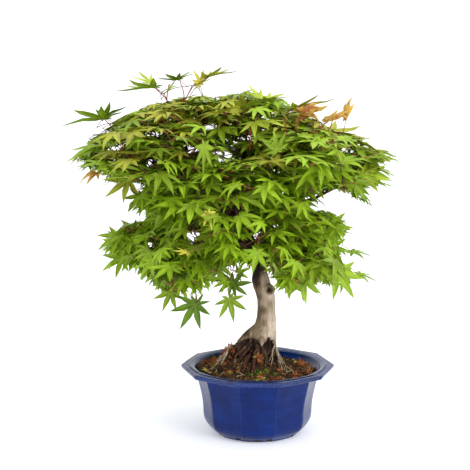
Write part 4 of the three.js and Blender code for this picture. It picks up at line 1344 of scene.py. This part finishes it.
# A leaf given by its base, the tip of its middle lobe and its width against a full leaf
def hangLeaf(grown, stalks, twigs, tint, base, tip, rise, bend, width=1.0):
    lobe = unit(tip - base)
    face = skyward(lobe, rise)
    length = np.linalg.norm(tip - base) * hung["longer"]
    grown.append({"base": base, "lobe": lobe, "face": face, "side": width * np.cross(face, lobe),
                  "length": length, "tint": tint, "bend": bend})
    high = ease(crown["low"], crown["high"], base[2])
    foot = base - lobe * hung["stalk"] + [0, hung["back"], mix(*hung["over"], high)]
    stalks.append((foot, base, lobe))
    ends = [t["run"][-1] for t in twigs if t["parent"] is not None]
    ends = [e for e in ends if (e[0] - hung["trunkX"]) * (foot[0] - hung["trunkX"]) > 0]
    climbs = [hung["climb"] * max(0, foot[2] - hung["lower"] - e[2]) for e in ends]
    nearest = ends[int(np.argmin([np.linalg.norm(e - foot) + climb for e, climb in zip(ends, climbs)]))]
    run = arc(nearest, foot, spray["twigStations"], hung["bow"])
    twigs.append({"run": run, "parent": -1, "load": hung["load"]})


# Rust leaves are half closed, and they droop but for the highest
def addClearLeaves(grown, stalks, twigs):
    for n, (tint, base, tip, depth, rise, *given) in enumerate(clearLeaves):
        base, tip = fromPhoto(*base, depth), fromPhoto(*tip, depth - 8)
        high = base[2] > hung["highFrom"]
        curled = tint == "rust"
        width = given[0] if given else 0.62 if curled else 1
        droop = (-0.2 if high else 0.5) if curled else 0.02
        fold, ripple = (1.7, 0.1) if curled else (0.3, 0.03)
        bend = (droop, 0, fold, 0.1 * math.sin(5 * n), ripple, n, 0.45 * width if high else 0.05)
        hangLeaf(grown, stalks, twigs, tint, base, tip, rise, bend, width)


# A leaf on each corner of the outline that juts out: it points at the corner, edge on but at the hem
def addCornerLeaves(grown, stalks, twigs):
    random = seeded(rim["cornerSeed"])
    back = unit(np.roll(crownOutline, 1, axis=0) - crownOutline)
    ahead = unit(np.roll(crownOutline, -1, axis=0) - crownOutline)
    sharp = np.sum(back * ahead, axis=1) > math.cos(math.radians(rim["sharp"]))
    out = -unit(back + ahead)
    jutting = sharp & ~insideOutline(crownOutline + 3 * out)
    for corner, way in zip(crownOutline[jutting], out[jutting]):
        tip = fromPhoto(*corner, drawn(rim["depth"], random))
        base = tip - unit([way[0], -0.2, -way[1]]) * drawn(rim["cornerLength"], random)
        aboveHem, onRight = ease(270, 240, corner[1]), ease(310, 340, corner[0])
        rise = mix(0.3, 1.0, float(max(aboveHem, 0.8 * onRight)))
        bend = [drawn(span, random) for span in rim["cornerBend"]]
        hangLeaf(grown, stalks, twigs, pickTint(base, random), base, tip, rise, bend)


# Leaves whose middle lobes end on the outline, at steps round it: they point out across it and away from
# the crown's middle, nearly level at the top and hanging at the hem
def addRimLeaves(grown, stalks, twigs):
    random = seeded(rim["seed"])
    corners = np.concatenate([crownOutline, crownOutline[:1]])
    stations = np.concatenate([[0], np.cumsum(np.linalg.norm(np.diff(corners, axis=0), axis=1))])
    for place in np.arange(rim["start"], stations[-1] - rim["start"], rim["step"]):
        seen, ahead = [np.array([np.interp(at, stations, corners[:, k]) for k in (0, 1)])
                       for at in (place, place + 1)]
        out = np.array([1, -1]) * (ahead - seen)[::-1]
        way = rim["across"] * unit(out) + rim["away"] * unit(seen - rim["middle"])
        way = way + np.array([random() - 0.5, random() - 0.5]) * rim["stray"]
        high = float(ease(260, 110, seen[1]))
        lobe = unit([way[0], 0.8 * (random() - 0.6), -way[1] * mix(1, 0.35, high)])
        tip = fromPhoto(*seen, drawn(rim["depth"], random))
        base = tip - lobe * drawn(rim["length"], random)
        tint = pickTint(base, random)
        bend = [drawn(span, random) for span in rim["bend"]]
        rise = mix(0.2, 0.85, high) + 0.3 * (random() - 0.5)
        face = skyward(lobe, rise)
        probes = leafProbes(base, lobe, np.cross(face, lobe), np.linalg.norm(tip - base), (0.35, 0.7))
        if insideOutline(seenInPhoto(probes)).all():
            hangLeaf(grown, stalks, twigs, tint, base, tip, rise, bend)


# The nearest fork within reach of a joint, from which the joint lies outward or upward
def pickFork(forks, joint, outward):
    ways = [joint - point for point, _ in forks]
    away = [np.linalg.norm(way) for way in ways]
    wanted = unit(outward + [0, 0, 0.7])
    for k in np.argsort(away):
        if spray["shortest"] < away[k] < spray["longest"] and dot(unit(ways[k]), wanted)[0] > 0:
            return k
    return None


# Each mass has a stem from its bough's tip. Its places are taken in turn: a twig bows from the best fork to
# the spray's joint and becomes a place for further forks.
def growCrown():
    grown, stalks, twigs, taken = [], [], [], []
    nodes, stations = spray["stemNodes"], spray["twigStations"]
    fade = np.sin(np.linspace(0, math.pi, stations))[:, None]
    for index, name in enumerate(names):
        random = seeded(crown["seed"] + crown["seedStep"] * index)
        limb = limbs[name] if masses[name][2] else limbs["trunk"]
        start, heading = limb[-1], unit(limb[-1] - limb[-4])
        centre = centres[index]
        span = np.linalg.norm(centre - start)
        lead = mix(start + heading * span * 0.5, centre, 0.35)
        stem = smoothCurve([start, lead, mix(start, centre, 1.2)], 12)
        twigs.append({"run": stem, "parent": None, "load": 0})
        forks = [(along(stem, (k - 0.1) / nodes), len(twigs) - 1) for k in range(1, nodes + 1)]
        for place in spreadPlaces(index, random, taken, start):
            outward = unit((place - crown["heart"]) * [1, 1, 0])
            heading = unit(unit((place - centre) * [1, 1, 0]) + outward)
            heading = turned(heading, crown["headingSpread"] * (random() - 0.5))
            joint = place - heading * spray["joint"] - [0, 0, 2]
            best = pickFork(forks, joint, outward)
            if best is None:
                continue
            fork, owner = forks[best]
            run = arc(fork, joint, stations, spray["twigBow"] * (random() - 0.3))
            run += shifts(run, 16, 400) * fade * spray["twigWobble"]
            if not insideOutline(seenInPhoto(run)).all():
                continue
            tint = pickTint(place, random)
            length = drawn(spray["leafLength"], random)
            fan = drawn(spray["fan"], random)
            before = len(grown)
            for turn in (fan, -fan):
                way = turned(heading, turn + spray["stray"] * (random() - 0.5))
                growLeaf(grown, stalks, joint, way, random, length * drawn(spray["sizes"], random), tint)
            if random() < spray["endLeaf"]:
                way = turned(heading, spray["stray"] * (random() - 0.5))
                growLeaf(grown, stalks, joint, way, random, length, tint)
            if len(grown) == before:
                continue
            twigs.append({"run": run, "parent": owner, "load": len(grown) - before})
            forks.pop(best)
            forks += [(along(run, share), len(twigs) - 1) for share in spray["forks"]]
    return grown, stalks, twigs


# Twigs thicken with the leaves that they carry: the radius at their foot is a power of the number of leaves
twigSize = {"lone": 0.42, "power": 0.42, "thickest": 2.3, "tip": 0.45, "thinnest": 0.4}


def buildTwigs(twigs, stalks):
    for twig in reversed(twigs):
        if twig["parent"] is not None and twig["parent"] >= 0:
            twigs[twig["parent"]]["load"] += twig["load"]
    stems = [t for t in twigs if t["parent"] is None]
    others = [t for t in twigs if t["parent"] is not None]
    parts = []
    for group, sides in ((stems, 9), (others, 6)):
        runs = np.array([t["run"] for t in group])
        loads = np.maximum([t["load"] for t in group], 1.0)
        foot = np.minimum(twigSize["lone"] * loads ** twigSize["power"], twigSize["thickest"])
        fade = np.linspace(1, 0, runs.shape[1])
        radii = twigSize["tip"] + (foot[:, None] - twigSize["tip"] + 0.1) * fade
        parts.append(tubes(runs, np.maximum(radii, twigSize["thinnest"]), sides))
    points, faces = together(parts)
    brown = plainMaterial("twig bark", sRGB(74, 46, 36), sRGB(122, 78, 58))
    addPiece("twigs", points, faces, brown, foliageNodes)
    joint, base, lobe = [np.array(column) for column in zip(*stalks)]
    stations, bow = 5, 1.4
    t = np.linspace(0, 1, stations)[None, :, None]
    bows = 4 * t * (1 - t) * bow * np.array([0, 0, 1.0])
    runs = mix(joint[:, None], (base + lobe * 0.6)[:, None], t) + bows
    radii = np.broadcast_to(np.linspace(0.5, 0.36, stations), runs.shape[:2])
    points, faces = tubes(runs, radii, 5)
    reddish = plainMaterial("leaf stalks", sRGB(150, 74, 58), sRGB(168, 120, 66))
    addPiece("leaf_stalks", points, faces, reddish, foliageNodes)


# Stage: a white floor, a bright even sky, a large soft lamp from the right and another overhead
stage = {
    "sky": 1.19, "floorHalf": 12, "floor": (0.91, 0.92, 0.95), "glow": (0.93, 0.96, 1.0),
    "glowStrength": 0.2,
    # place, size and power of the lamps, and the place that they look at
    "lamps": {"key lamp": ((1.7, -1.7, 1.7), 1.6, 32), "top lamp": ((-0.3, 0.2, 2.6), 2.4, 16)},
    "aim": (0, 0, 0.28),
}


def makeStage():
    bpy.context.scene.view_settings.view_transform = "Standard"
    world = bpy.data.worlds.new("studio")
    bpy.context.scene.world = world
    world.use_nodes = True
    background = world.node_tree.nodes["Background"]
    background.inputs["Color"].default_value = (1, 1, 1, 1)
    background.inputs["Strength"].default_value = stage["sky"]
    floorMesh = bpy.data.meshes.new("floor")
    half = stage["floorHalf"]
    corners = [(-half, -half, 0), (half, -half, 0), (half, half, 0), (-half, half, 0)]
    floorMesh.from_pydata(corners, [], [(0, 1, 2, 3)])
    floor = bpy.data.objects.new("floor", floorMesh)
    material, shader = newMaterial("white floor", stage["floor"], 0.9, 0.1)
    shader.inputs["Emission Color"].default_value = (*stage["glow"], 1)
    shader.inputs["Emission Strength"].default_value = stage["glowStrength"]
    floorMesh.materials.append(material)
    bpy.context.scene.collection.objects.link(floor)
    for name, (where, size, power) in stage["lamps"].items():
        light = bpy.data.lights.new(name, "AREA")
        light.size = size
        light.energy = power
        lamp = bpy.data.objects.new(name, light)
        lamp.location = where
        x, y, z = np.subtract(stage["aim"], where)
        lamp.rotation_euler = (math.atan2(math.hypot(x, y), -z), 0, math.atan2(-x, y))
        bpy.context.scene.collection.objects.link(lamp)


makeCamera()
makeStage()
print("stage made")
buildPot()
buildSoil()
buildCrumbs()
buildMoss()
buildLitter()
buildSticks()
buildTrunk()
buildRoots()
buildBoughs()
grown, stalks, twigs = growCrown()
addClearLeaves(grown, stalks, twigs)
addCornerLeaves(grown, stalks, twigs)
addRimLeaves(grown, stalks, twigs)
print("crown grown:", len(grown), "leaves on", len(twigs), "twigs")
buildTwigs(twigs, stalks)
buildShoots()
buildLeaves(grown)
